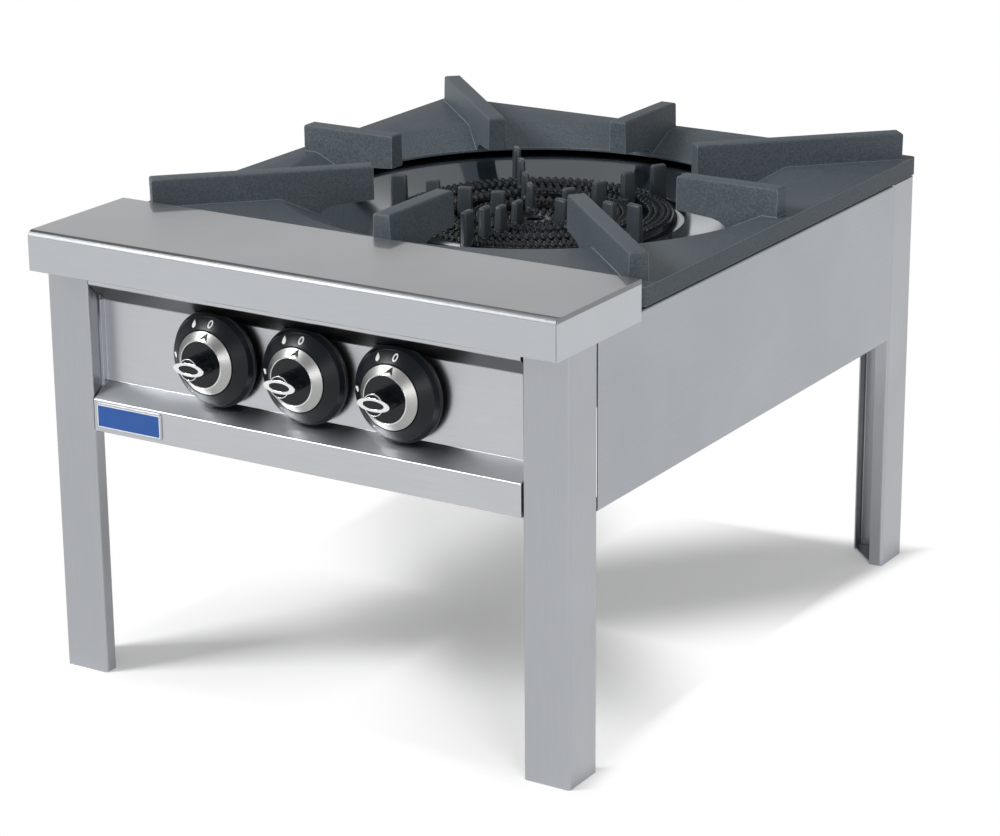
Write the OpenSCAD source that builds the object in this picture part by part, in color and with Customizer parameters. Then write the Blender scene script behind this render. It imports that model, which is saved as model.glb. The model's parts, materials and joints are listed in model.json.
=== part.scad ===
/* [Body] */
// Width of the ledge and of the whole stove
body_w = 600; // [560:5:700]
// Depth of the front ledge
ledge_d = 152; // [140:1:200]
// Height of the surface that the pan support stands on
deck_z = 433; // [380:1:600]
// Height of the ledge top above that surface
ledge_rise = 30.5; // [24:0.5:40]
// Height of the ledge's fascia
fascia_h = 40.5; // [36:0.5:48]
// Outer radius of the ledge's front edge
ledge_r = 8; // [4:0.5:12]
// Return flange under the fascia
fascia_lip = 12; // [6:1:18]
// Step from the ledge's side face in to the legs and side panels
side_inset = 1.5; // [1.5:0.1:3]
// Height of the side and rear panels
skirt_h = 172; // [165:1:200]
// Width of the flanges turned in along the panels
flange_w = 25; // [15:1:30]
// Sheet thickness of the panels
sheet_t = 1.2; // [1:0.1:1.5]
// Inner radius of the bends in the sheet
bend_r = 1.5; // [0.5:0.1:2.5]
// Open seam between neighbouring panels
seam = 0.8; // [0.3:0.1:0.9]

/* [Legs] */
// Outer width of each face of a leg
leg_w = 50; // [45:1:60]
// Lip turned in along the free edges of a leg
leg_lip = 15; // [13:0.5:20]
// Sheet thickness of the legs
leg_t = 1.5; // [1.2:0.1:2]
// Distance of the front legs behind the fascia's face
leg_back = 25; // [20:1:30]
// Thickness of the foot plates
foot_t = 2; // [1:0.5:4]

/* [Control panel] */
// Width of the gap between the panel's ends and the legs
panel_gap = 1.4; // [0.8:0.1:2]
// Depth of the control face behind the rail
face_back = 22; // [21:0.5:24]
// Height of the control face
face_h = 82; // [78:1:88]
// Height of the control face above the knob axes
face_up = 36.5; // [36:0.5:40]
// Height of the slant below the control face
slant_h = 14.8; // [10:0.2:20]
// Height of the slant above the control face
hood_h = 21.2; // [18:0.2:22]
// Width of the flanges at the panel's ends
panel_end = 42; // [36:1:50]
// Radius of the screws in the panel's ends
screw_r = 2.5; // [2:0.1:3]

/* [Knobs] */
// Drop of the knob axes below the deck
knob_drop = 79.7; // [78:0.1:82]
// Distance between neighbouring knobs
knob_pitch = 106; // [100:1:115]
// Radius of a dial's rim
dial_r = 48.2; // [46:0.1:49]
// Radius of the foot that a dial stands on
dial_foot_r = 35; // [34.5:0.1:36]
// Distance of a dial's rim in front of the panel
dial_stand = 6.6; // [6.4:0.1:8]
// Radius of a dial's front edge
dial_front_r = 44.3; // [42:0.1:44.5]
// Depth of a dial from the panel to its front edge
dial_rim = 15.3; // [14:0.1:16]
// Depth of a dial from the panel to the knob's ring
dial_d = 24.2; // [23:0.1:25]
// Radius of the knob's skirt
knob_r = 31.6; // [30:0.1:31.8]
// Outer radius of the knob's black centre
centre_r = 23.9; // [22:0.1:25]
// Distance of the black centre in front of the panel
centre_d = 31.5; // [30:0.1:32]
// Distance of the grip's tip in front of the panel
grip_d = 50.7; // [47:0.1:54]
// Half width of the grip's blade
blade_a = 17.8; // [15:0.1:20]
// Half height of the grip's blade
blade_b = 6.5; // [5:0.1:8]
// Radius of the grip's round stem
stem_r = 10.8; // [9:0.1:12]
// Running gap between the knob and the dial
knob_gap = 0.6; // [0.4:0.1:1]
// Travel of a knob when it is pushed in
push = 4; // [3:0.5:5]

/* [Pan support] */
// Set back of the pan support's edge from the ledge's side face
grate_inset = 2.5; // [2:0.5:4]
// Gap between the ledge and the pan support
grate_gap = 9.5; // [6:0.5:12]
// Overhang of the pan support behind the rear panel
grate_over = 6.2; // [3:0.1:8]
// Height of the pan support's frame
grate_h = 19; // [16:0.5:24]
// Thickness of the frame's top plate
plate_t = 7; // [5:0.5:9]
// Thickness of the frame's outer skirt
skirt_t = 9; // [6:0.5:12]
// Height of the fingers above the frame
finger_rise = 29; // [24:0.5:36]
// Width of the fingers at the top
finger_w = 18.5; // [16:0.5:20]
// Extra width of the fingers at the foot
finger_draft = 3.2; // [1:0.1:4]
// Radius of the circle inside the fingers
finger_in_r = 173; // [168:1:180]
// Distance of a side finger's end from the frame's edge
side_end = 10; // [6:1:20]
// Distance of a corner finger's end from the frame's corner
corner_end = 18.7; // [14:0.1:30]
// Width of the frame's top plate at the middle of a side
plate_w = 28.5; // [27.5:0.5:35]
// Radius of the collar's lower edge
collar_r = 230; // [226:1:234]
// Depth of the collar's lower edge below the deck
collar_drop = 3; // [1:0.5:3.5]

/* [Spill tray] */
// Distance of the tray's inner edge line from the burner
well_gap = 8.3; // [6.3:0.1:10]
// Depth of that edge line below the deck
well_drop = 18; // [16:0.5:19]
// Depth of the tray's floor below that line
floor_drop = 4; // [2:0.5:5]
// Radius where the tray's slope starts
slope_r = 280; // [274:1:284]
// Thickness of the tray
tray_t = 1; // [0.8:0.1:1.2]

/* [Burner] */
// Depth of the burner's base below the deck
base_drop = 53; // [50:1:56]
// Depth of the burner's crown below the deck
crown_drop = 13; // [12:0.5:15]
// Outer radius of the outer ring
outer_r = 149; // [147:0.5:151]
// Width of the outer ring
outer_w = 31; // [30:0.5:34]
// Gap between the outer and the middle ring
outer_gap = 8; // [7.5:0.5:10]
// Width of the middle ring
middle_w = 26; // [25:0.5:28]
// Gap between the middle and the inner ring
inner_gap = 14; // [12:0.5:15]
// Width of the inner ring
inner_w = 24; // [23:0.5:26]
// Gap between the inner ring and the hub
hub_gap = 10; // [8:0.5:12]
// Radius of the hub's centre hole
eye_r = 9; // [8:0.5:10]
// Wall of the burner castings
cast_t = 4; // [3:0.5:5]
// Width of the square port studs
stud_w = 4.8; // [4:0.1:5]
// Distance between neighbouring studs of a row
stud_pitch = 8.3; // [8:0.1:10]
// Distance between the two rows of a pair
row_step = 5.8; // [5.6:0.1:6.2]
// Thickness of the cast spider under the rings
spider_t = 6; // [5:0.5:7]
// Thickness of the upright fins
fin_t = 8.5; // [6:0.5:9.5]
// Radial length of the fins at their foot
fin_l = 17; // [15:0.5:20]
// Distance of the outermost fins' ends outside the outer ring
fin_over = 6; // [3:0.5:6]
// Height of the outer ring's fins above its crown
outer_fin_h = 33.8; // [28:0.1:38]
// Height of the middle ring's fins above its crown
middle_fin_h = 30.7; // [26:0.1:35]
// Height of the inner ring's fins above its crown
inner_fin_h = 26.2; // [22:0.1:32]
// Height of the hub's fins above its crown
hub_fin_h = 27; // [22:0.1:32]
// Half distance between the burner's lugs along the stove's width
lug_x = 172; // [168:1:175]
// Half distance between the burner's lugs along its depth
lug_y = 70; // [60:1:80]
// Radius of the bolts in the lugs
bolt_r = 3.2; // [2.5:0.1:4]

/* [Gas way] */
// Radius of the mixing tubes
tube_r = 16; // [15:0.5:17]
// Wall of the mixing tubes
tube_t = 3.5; // [3:0.5:4]
// Distance of the mixing tubes' mouths behind the ledge
mouth_back = 30; // [28:1:34]
// Radius of an injector's barrel
barrel_r = 7; // [6:0.5:8]
// Radius of an air shutter's disc
shutter_r = 21; // [18:0.5:21]
// Travel of an air shutter
shutter_travel = 10; // [6:1:11]
// Radial clearance of running fits
fit = 0.05; // [0.02:0.01:0.08]
// Radius of the manifold and of the supply pipe
pipe_r = 10.65; // [10:0.05:11]
// Drop of the manifold below the valves
manifold_drop = 34; // [32:0.5:36]
// Distance of the manifold behind the control face
manifold_back = 31; // [29:0.5:32]
// Radius of a valve's body
valve_r = 14; // [13:0.5:15]
// Length of a valve's body
valve_l = 47; // [45:0.5:50]
// Radius of the valve spindles
spindle_r = 4; // [3.5:0.1:4.2]
// Radius of the copper feed tubes
feed_r = 4; // [3:0.5:4.5]
// Radius of the inlet's thread
inlet_r = 10.48; // [9:0.01:11]
// Length of the inlet's thread
inlet_l = 18; // [14:0.5:24]
// Length of the inlet's outer nut
inlet_nut = 8; // [6:0.5:10]
// Distance of the inlet from the side panel's face
inlet_in = 93.5; // [80:0.5:100]

/* [Hidden] */
$fn = 64;
STEEL = "#c3c6c9";
IRON = "#454c52";
BURNER = "#202427";
BLACK = "#26292b";
CHROME = "#dfe2e4";
BRASS = "#c2a14d";
COPPER = "#b9734a";

// Plan: x to the right, y to the back, the origin on the floor under the middle
grate_s = body_w - 2 * grate_inset;
collar_top_r = grate_s / 2 - plate_w;
grate_y0 = ledge_d + grate_gap;
frame_rear = grate_y0 + grate_s - grate_over;
knob_over = max(0, grip_d - leg_back - face_back);
overall_d = knob_over + frame_rear + inlet_nut + inlet_l;
y_front = knob_over - overall_d / 2;
half_w = body_w / 2;
frame_x = half_w - side_inset;
leg_y0 = y_front + leg_back;
rear_y = y_front + frame_rear;
burner_y = y_front + grate_y0 + grate_s / 2;

// Heights
ledge_z = deck_z + ledge_rise;
fascia_z = ledge_z - fascia_h;
skirt_z = deck_z - tray_t - skirt_h;
support_z = deck_z - tray_t;
knob_z = deck_z - knob_drop;
base_z = deck_z - base_drop;
crown_z = deck_z - crown_drop;
well_z = deck_z - well_drop;
plate_z = deck_z + grate_h;
rest_z = plate_z + finger_rise;
ring_z = base_z + spider_t;
slope_gap = 1.5;

// Control face, knobs and what lies behind them
face_y = leg_y0 + face_back;
inner_face_y = face_y + sheet_t;
face_top_z = knob_z + face_up;
face_low_z = face_top_z - face_h;
panel_x = frame_x - leg_w - panel_gap;
knob_x = [-knob_pitch, 0, knob_pitch];
manifold_y = face_y + manifold_back;
manifold_z = knob_z - manifold_drop;
valve_y1 = inner_face_y + valve_l;
outlet_l = 10;
nose_r = 8.4;
outlet_y1 = valve_y1 + outlet_l;

// Cross rail that carries the injectors, and the tubes behind it
rail_gap = 1.5;
rail_y = y_front + ledge_d + rail_gap;
rail_low_z = knob_z - 22;
mouth_y = y_front + ledge_d + mouth_back;
injector_hex = 12.5;
outer_in_r = outer_r - outer_w;
middle_r = outer_in_r - outer_gap;
middle_in_r = middle_r - middle_w;
inner_r = middle_in_r - inner_gap;
inner_in_r = inner_r - inner_w;
hub_r = inner_in_r - hub_gap;
well_r = outer_r + well_gap;
outer_mid_r = (outer_r + outer_in_r) / 2;
middle_mid_r = (middle_r + middle_in_r) / 2;
inner_mid_r = (inner_r + inner_in_r) / 2;
tube_x = [knob_x[0], knob_x[1], middle_mid_r - 9];
tube_reach = [outer_mid_r, inner_mid_r, middle_mid_r];
tube_y1 = [for (i = [0:2]) near(burner_y - sqrt(pow(tube_reach[i], 2) - pow(tube_x[i], 2)))];
tube_top = [base_z, ring_z, ring_z];
port_r = 8;
elbow_r = 19;
shutter_y = rail_y + sheet_t + 5;
shutter_hub_l = 8;
shutter_t = 2;

// Burner carriers
bar_w = 25;
bar_x = lug_x + bar_w / 2 + 0.5;
bar_t = 2;
lug_w = 16;
hole_gap = 0.1;
hole_r = bolt_r + hole_gap;

// Pilot flame in the gap between the outer and the middle ring
pilot_gap_r = (outer_in_r + middle_r) / 2;
pilot_angle = -67;
couple_angle = -60.5;
pilot_r = 3.2;
couple_r = 2;
pilot_at = [near(pilot_gap_r * cos(pilot_angle)), near(pilot_gap_r * sin(pilot_angle))];
couple_at = [near(pilot_gap_r * cos(couple_angle)), near(pilot_gap_r * sin(couple_angle))];
bracket_t = 3;

// Gas pipes
supply_x = frame_x - inlet_in;
supply_bend = 24;
manifold_x1 = 150;
clamp_w = 24;

// Rows of fins, and how far the fins and the port studs go down into their ring
fin_angle = 21.1;
fin_count = 5;
fin_root = 6;
stud_root = 6.5;

function unit(v) = v / norm(v);

// Nearest quarter of a millimetre
function near(v) = round(4 * v) / 4;

function left_of(v) = [-v[1], v[0]];
function bend(a, b, c) = (b[0] - a[0]) * (c[1] - b[1]) - (b[1] - a[1]) * (c[0] - b[0]);
function reversed(v) = [for (i = [len(v) - 1:-1:0]) v[i]];

// Points of the arc that rounds corner b between a and c
function corner(a, b, c, r, n = 5) =
    let (
        u = unit(a - b),
        v = unit(c - b),
        half = acos(u * v) / 2,
        mid = b + unit(u + v) * r / sin(half),
        p = b + u * r / tan(half) - mid,
        q = b + v * r / tan(half) - mid,
        a0 = atan2(p[1], p[0]),
        d = atan2(q[1], q[0]) - a0,
        sweep = d > 180 ? d - 360 : d < -180 ? d + 360 : d
    )
    [for (i = [0:n]) mid + r * [cos(a0 + sweep * i / n), sin(a0 + sweep * i / n)]];

// Closed outline with every corner rounded by its own radius
function rounded(p, r) =
    [for (i = [0:len(p) - 1])
        each r[i] > 0
            ? corner(p[(i + len(p) - 1) % len(p)], p[i], p[(i + 1) % len(p)], r[i])
            : [p[i]]];

// Open path with its inner corners rounded
function eased(p, r) = [
    p[0],
    for (i = [1:len(p) - 2]) each corner(p[i - 1], p[i], p[i + 1], r[i - 1]),
    p[len(p) - 1]
];

// Open path moved to its left by t
function beside(p, t) =
    [for (i = [0:len(p) - 1])
        let (
            n1 = left_of(unit(i > 0 ? p[i] - p[i - 1] : p[1] - p[0])),
            n2 = left_of(unit(i < len(p) - 1 ? p[i + 1] - p[i] : p[i] - p[i - 1]))
        )
        p[i] + t * (n1 + n2) / (1 + n1 * n2)];

// Outline of bent sheet: p is one face, the sheet lies on its left, r are the inner bend radii
function sheet(p, t, r = []) =
    let (
        bends = [for (i = [1:len(p) - 2]) bend(p[i - 1], p[i], p[i + 1]) > 0],
        radii = [for (i = [0:len(bends) - 1]) len(r) > i ? r[i] : bend_r],
        near = [for (i = [0:len(bends) - 1]) bends[i] ? radii[i] + t : radii[i]],
        far = [for (i = [0:len(bends) - 1]) bends[i] ? radii[i] : radii[i] + t]
    )
    concat(eased(p, near), reversed(eased(beside(p, t), far)));

function oval(a, b, n = 48) = [for (i = [0:n - 1]) [a * cos(360 * i / n), b * sin(360 * i / n)]];

// Extrudes an outline drawn in y and z along x
module along_x(x0, x1) {
    translate([x0, 0, 0]) rotate([90, 0, 90]) linear_extrude(x1 - x0) children();
}

// Extrudes an outline drawn in x and z along y
module along_y(y0, y1) {
    translate([0, y1, 0]) rotate([90, 0, 0]) linear_extrude(y1 - y0) children();
}

// Round bar along y at x and z
module bar_y(x, z, y0, y1, r0, r1 = undef) {
    translate([x, y0, z])
        rotate([-90, 0, 0])
            cylinder(h = y1 - y0, r1 = r0, r2 = is_undef(r1) ? r0 : r1);
}

// Round bar along x at y and z
module bar_x(y, z, x0, x1, r) {
    translate([x0, y, z]) rotate([0, 90, 0]) cylinder(h = x1 - x0, r = r);
}

// Hexagon along y at x and z
module hex_y(x, z, y0, y1, r) {
    translate([x, y0, z]) rotate([-90, 0, 0]) cylinder(h = y1 - y0, r = r, $fn = 6);
}

// Shape turned about an axis along y, from points of radius and distance in front of the panel
module turned(x, points) {
    translate([x, face_y, knob_z])
        rotate([90, 0, 0])
            rotate_extrude()
                polygon(points);
}

// Straight round bar between two points
module rod(p, q, r) {
    d = q - p;
    translate(p)
        rotate([0, acos(d[2] / norm(d)), atan2(d[1], d[0])])
            cylinder(h = norm(d), r = r);
}

// Sweeps an outline round the bend from direction a to direction b that starts at p
module swept(p, a, b, bend_radius) {
    n = unit(b - a * (a * b));
    z = cross(-n, a);
    c = p + n * bend_radius;
    multmatrix([
        [-n[0], a[0], z[0], c[0]],
        [-n[1], a[1], z[1], c[1]],
        [-n[2], a[2], z[2], c[2]],
        [0, 0, 0, 1]
    ])
        rotate_extrude(angle = acos(a * b))
            translate([bend_radius, 0])
                children();
}

// Bent pipe through the points, with bends of radius bend_radius
module pipe(points, r, bend_radius) {
    last = len(points) - 1;
    dirs = [for (i = [0:last - 1]) unit(points[i + 1] - points[i])];
    cuts = [0, for (i = [1:last - 1]) bend_radius * tan(acos(dirs[i - 1] * dirs[i]) / 2), 0];
    for (i = [0:last - 1])
        rod(points[i] + dirs[i] * cuts[i], points[i + 1] - dirs[i] * cuts[i + 1], r);
    for (i = [1:last - 1])
        swept(points[i] - dirs[i - 1] * cuts[i], dirs[i - 1], dirs[i], bend_radius) circle(r);
}

// Leg with its outer corner at the origin, its faces running left and back
module leg(side, end, height) {
    path = [
        [-leg_w, leg_lip],
        [-leg_w, 0],
        [0, 0],
        [0, leg_w],
        [-leg_lip, leg_w]
    ];
    color(STEEL)
        difference() {
            translate([side * frame_x, end < 0 ? leg_y0 : rear_y, 0])
                mirror([side < 0 ? 1 : 0, 0, 0])
                    mirror([0, end < 0 ? 0 : 1, 0])
                        linear_extrude(height)
                            polygon(sheet(path, leg_t));
            if (end < 0) panel_screw_places() bar_x(0, 0, -leg_w, leg_w, screw_r + hole_gap);
        }
}

module leg_front_left() {
    leg(-1, -1, ledge_z - sheet_t - 0.3);
}

module leg_front_right() {
    leg(1, -1, ledge_z - sheet_t - 0.3);
}

module leg_rear_left() {
    leg(-1, 1, support_z);
}

module leg_rear_right() {
    leg(1, 1, support_z);
}

// Plates that close the legs at the floor
module foot_plates() {
    near_edge = leg_t + 0.5;
    far_edge = leg_w - near_edge;
    outline = [
        [-near_edge, near_edge],
        [-near_edge, far_edge],
        [-leg_lip, far_edge],
        [-far_edge, leg_lip],
        [-far_edge, near_edge]
    ];
    color(STEEL)
        for (side = [-1, 1], end = [-1, 1])
            translate([side * frame_x, end < 0 ? leg_y0 : rear_y, 0])
                mirror([side < 0 ? 1 : 0, 0, 0])
                    mirror([0, end < 0 ? 0 : 1, 0])
                        linear_extrude(foot_t)
                            polygon(outline);
}

// Ledge: one folded sheet with closed sides
module ledge() {
    low_z = deck_z + 1;
    y1 = y_front + ledge_d;
    path = [
        [y_front + fascia_lip, fascia_z],
        [y_front, fascia_z],
        [y_front, ledge_z],
        [y1, ledge_z],
        [y1, low_z]
    ];
    side_face = [
        [y_front + 1, fascia_z],
        [y_front + 1, ledge_z],
        [y1, ledge_z],
        [y1, fascia_z]
    ];
    color(STEEL) {
        along_x(-half_w + sheet_t, half_w - sheet_t)
            polygon(sheet(path, -sheet_t, [bend_r, ledge_r - sheet_t, bend_r]));
        for (x = [-half_w, half_w - sheet_t])
            along_x(x, x + sheet_t)
                polygon(rounded(side_face, [0, ledge_r - 1, 1, 0]));
    }
}

// Places of the screws that hold the control panel to the front legs
module panel_screw_places() {
    for (side = [-1, 1], z = [skirt_z + 16, fascia_z + 8])
        translate([side * (panel_x + panel_gap / 2), leg_y0 + 8, z])
            children();
}

// Face of the control panel from its rail up to its lip behind the fascia
function panel_path() = [
    [leg_y0 + leg_lip, skirt_z],
    [leg_y0, skirt_z],
    [leg_y0, face_low_z - slant_h],
    [face_y, face_low_z],
    [face_y, face_top_z],
    [leg_y0, face_top_z + hood_h],
    [leg_y0, ledge_z - 12]
];

// Control panel, with end plates that reach forward of the control face to the legs' lips
module control_panel() {
    path = panel_path();
    ear_y = leg_y0 + leg_lip + 0.5;
    share = (face_y - ear_y) / face_back;
    end_face = [
        [leg_y0, skirt_z],
        [leg_y0, face_low_z - slant_h],
        [ear_y, face_low_z - slant_h * share],
        [ear_y, face_top_z + hood_h * share],
        [leg_y0, face_top_z + hood_h],
        [leg_y0, ledge_z - 12],
        [leg_y0 + panel_end, ledge_z - 12],
        [leg_y0 + panel_end, skirt_z]
    ];
    color(STEEL)
        difference() {
            union() {
                along_x(-panel_x, panel_x) polygon(sheet(path, -sheet_t));
                for (x = [-panel_x, panel_x - sheet_t])
                    along_x(x, x + sheet_t) polygon(rounded(end_face, [1, 1, 0, 0, 1, 0, 2, 2]));
            }
            for (x = knob_x)
                bar_y(x, knob_z, face_y - 1, inner_face_y + 1, nose_r + hole_gap);
            panel_screw_places() bar_x(0, 0, -10, 10, screw_r + hole_gap);
        }
}

// Screws from inside through the panel's ends into the legs' lips
module panel_screws() {
    head = 2.2;
    color(STEEL)
        for (side = [-1, 1])
            intersection() {
                translate([side > 0 ? 0 : -half_w, y_front, 0]) cube([half_w, leg_w + leg_back, ledge_z]);
                panel_screw_places()
                    mirror([side < 0 ? 1 : 0, 0, 0])
                        union() {
                            bar_x(0, 0, -panel_gap / 2 - sheet_t, panel_gap / 2 + leg_t, screw_r);
                            bar_x(0, 0, -panel_gap / 2 - sheet_t - head, -panel_gap / 2 - sheet_t, 2 * screw_r);
                        }
            }
}

// Room for the tray's slope in the flanges that carry its rim
module slope_relief() {
    translate([0, burner_y, support_z - sheet_t - 1])
        cylinder(h = sheet_t + 2, r = slope_r + slope_gap, $fn = 128);
}

// Side panel between the legs, with a flange along its top and its bottom
module side_panel(side) {
    path = [
        [frame_x - flange_w * 0.8, skirt_z],
        [frame_x, skirt_z],
        [frame_x, support_z],
        [frame_x - flange_w, support_z]
    ];
    color(STEEL)
        mirror([side < 0 ? 1 : 0, 0, 0])
            difference() {
                along_y(leg_y0 + leg_w + seam, rear_y - leg_w - seam) polygon(sheet(path, sheet_t));
                slope_relief();
            }
}

module side_panel_left() {
    side_panel(-1);
}

module side_panel_right() {
    side_panel(1);
}

module rear_panel() {
    path = [
        [rear_y - flange_w * 0.8, skirt_z],
        [rear_y, skirt_z],
        [rear_y, support_z],
        [rear_y - flange_w, support_z]
    ];
    x1 = frame_x - leg_w - seam;
    color(STEEL)
        difference() {
            along_x(-x1, x1) polygon(sheet(path, sheet_t));
            slope_relief();
            bar_y(supply_x, manifold_z, rear_y - 2 * sheet_t, rear_y + 1, inlet_r + hole_gap);
        }
}

// Cross rail under the ledge's back edge: it carries the tray, the burner bars and the injectors
module front_rail() {
    path = [
        [rail_y, rail_low_z],
        [rail_y, support_z],
        [rail_y + flange_w, support_z]
    ];
    x1 = frame_x - sheet_t - 0.3;
    color(STEEL)
        difference() {
            along_x(-x1, x1) polygon(sheet(path, -sheet_t));
            slope_relief();
            for (x = tube_x)
                bar_y(x, knob_z, rail_y - 1, rail_y + sheet_t + 1, barrel_r + hole_gap);
            for (side = [-1, 1])
                translate([side * (frame_x - flange_w / 2) - flange_w / 2 - 1, rail_y - 1, support_z - 8])
                    cube([flange_w + 2, flange_w + 4, 10]);
        }
}

// Spill tray: flat rim, long slope to the edge line and a flat floor round the burner
module spill_tray() {
    floor_z = well_z - floor_drop;
    path = [
        [slope_r + 4, deck_z],
        [slope_r, deck_z],
        [well_r, well_z],
        [well_r - 1, floor_z],
        [outer_r + 1.5, floor_z]
    ];
    y0 = rail_y + 3;
    y1 = rear_y - 2;
    x1 = frame_x - 8;
    color(CHROME) {
        difference() {
            translate([-x1, y0, support_z]) cube([2 * x1, y1 - y0, tray_t]);
            translate([0, burner_y, support_z - 1]) cylinder(h = tray_t + 2, r = slope_r + 2);
        }
        translate([0, burner_y, 0])
            rotate_extrude($fn = 128)
                polygon(sheet(path, tray_t, [0.5, 0.5, 0.4]));
    }
}

// Angle bars under the burner's lugs, from the cross rail to the rear panel
module burner_bars() {
    path = [
        [bar_x, base_z - bar_w],
        [bar_x, base_z],
        [bar_x - bar_w, base_z]
    ];
    color(STEEL)
        for (side = [0, 1])
            mirror([side, 0, 0])
                difference() {
                    along_y(rail_y + sheet_t, rear_y - sheet_t) polygon(sheet(path, bar_t));
                    for (y = [-lug_y, lug_y])
                        translate([lug_x, burner_y + y, base_z - bar_t - 1])
                            cylinder(h = bar_t + 2, r = hole_r);
                }
}

module burner_bolts() {
    head = 1.25 * bolt_r;
    nut = 1.5 * bolt_r;
    tail = bar_t + 2.5 * bolt_r;
    color(STEEL)
        for (side = [-1, 1], y = [-lug_y, lug_y])
            translate([side * lug_x, burner_y + y, base_z]) {
                translate([0, 0, -tail]) cylinder(h = tail + spider_t, r = bolt_r);
                translate([0, 0, spider_t]) cylinder(h = head, r = 2 * bolt_r, $fn = 6);
                translate([0, 0, -bar_t - nut]) cylinder(h = nut, r = 1.8 * bolt_r, $fn = 6);
            }
}

// Rows of port studs, every second row turned by half a pitch
module studs(radii, z0, z1) {
    translate([0, 0, z0])
        linear_extrude(z1 - z0)
            for (k = [0:len(radii) - 1])
                let (count = round(360 / (stud_pitch / radii[k] * 180 / PI)))
                    for (i = [0:count - 1])
                        rotate(360 * (i + (k % 2) / 2) / count)
                            translate([radii[k], 0])
                                square(stud_w, center = true);
}

// One upright fin that ends at r1: cut back under its outer end and tapered to a rounded top
module fin(length, r1, z0, z1) {
    lean = 1.2;
    under = 5;
    r0 = r1 - length;
    outline = [[r0, z0], [r1 - under, z0], [r1, z0 + under], [r1 - lean, z1], [r0 + lean, z1]];
    rotate([90, 0, 0])
        translate([0, 0, -fin_t / 2])
            linear_extrude(fin_t)
                polygon(rounded(outline, [0, 0, 1, 3.5, 3.5]));
}

module fins(length, r1, top, height) {
    for (k = [0:fin_count - 1])
        rotate(fin_angle + 180 + 360 * k / fin_count)
            fin(length, r1, top - fin_root, top + height);
}

// Hollow ring casting with a crown between its two pairs of stud rows
module ring_shell(r0, r1, z0, z1, port) {
    mid = (r0 + r1) / 2;
    edge = [
        [r0 + 1.5, z0],
        [r1 - 1.5, z0],
        [r1, z0 + 3],
        [r1, z1 - 8],
        [r1 - 4, z1 - 1],
        [mid + 5, z1 - 1.6],
        [mid + 1.5, z1 + 0.4],
        [mid - 1.5, z1 + 0.4],
        [mid - 5, z1 - 1.6],
        [r0 + 1, z1 - 1],
        [r0, z1 - 3],
        [r0, z0 + 3]
    ];
    void = [
        [r0 + cast_t, z0 + cast_t],
        [r1 - cast_t, z0 + cast_t],
        [r1 - cast_t, z1 - 11],
        [r1 - cast_t - 3, z1 - cast_t - 3],
        [r0 + cast_t, z1 - cast_t - 3]
    ];
    difference() {
        rotate_extrude($fn = 96) polygon(edge);
        rotate_extrude($fn = 96) polygon(void);
        translate([port[0], port[1], z0 - 1]) cylinder(h = cast_t + 2, r = port_r);
    }
}

function port_at(i) = [tube_x[i], tube_y1[i] - burner_y];

module outer_burner_ring() {
    top = crown_z;
    lug_in = outer_r - 32;
    color(BURNER)
        translate([0, burner_y, 0])
            difference() {
                union() {
                    ring_shell(outer_in_r, outer_r, base_z, top, port_at(0));
                    studs([outer_r - 8.8, outer_r - 8.8 - row_step], top - stud_root, top + 2);
                    studs([outer_in_r + 3 + row_step, outer_in_r + 3], top - stud_root, top + 1);
                    fins(fin_l + 2, outer_r + fin_over, top, outer_fin_h);
                    for (a = [45, 135])
                        rotate(a)
                            translate([-outer_in_r - 2, -7, base_z])
                                cube([2 * outer_in_r + 4, 14, spider_t]);
                    for (side = [0, 1], y = [-lug_y, lug_y])
                        mirror([side, 0, 0])
                            translate([lug_in, y - lug_w / 2, base_z])
                                cube([lug_x + lug_w / 2 - lug_in, lug_w, spider_t]);
                }
                for (side = [-1, 1], y = [-lug_y, lug_y])
                    translate([side * lug_x, y, base_z - 1])
                        cylinder(h = spider_t + 2, r = hole_r);
                translate([port_at(0)[0], port_at(0)[1], base_z - 1])
                    cylinder(h = cast_t + 2, r = port_r);
            }
}

module middle_burner_ring() {
    top = crown_z - 1;
    color(BURNER)
        translate([0, burner_y, 0]) {
            ring_shell(middle_in_r, middle_r, ring_z, top, port_at(2));
            studs([middle_r - 3.4, middle_r - 3.4 - row_step], top - stud_root, top + 1.5);
            studs([middle_in_r + 3.2 + row_step, middle_in_r + 3.2], top - stud_root, top + 1.5);
            fins(fin_l, outer_in_r - 0.5, top, middle_fin_h);
        }
}

module inner_burner_ring() {
    top = crown_z - 3;
    hub_top = crown_z - 7;
    hub = [
        [eye_r, ring_z],
        [inner_in_r + 2, ring_z],
        [inner_in_r + 2, ring_z + cast_t + 12],
        [hub_r, ring_z + cast_t + 12],
        [hub_r, hub_top - 3],
        [hub_r - 2, hub_top - 1],
        [eye_r + 2, hub_top - 1],
        [eye_r, hub_top - 3]
    ];
    color(BURNER)
        translate([0, burner_y, 0]) {
            ring_shell(inner_in_r, inner_r, ring_z, top, port_at(1));
            rotate_extrude() polygon(hub);
            studs([inner_r - 4, inner_r - 4 - row_step], top - stud_root, top + 1);
            studs([inner_in_r + 3.2 + row_step, inner_in_r + 3.2], top - stud_root, top + 1);
            studs([hub_r - 4, hub_r - 4 - row_step, hub_r - 4 - 2 * row_step], hub_top - stud_root, hub_top + 1);
            fins(fin_l, middle_in_r - 0.6, top, inner_fin_h);
            fins(fin_l, inner_in_r + 2, hub_top, hub_fin_h);
        }
}

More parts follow.
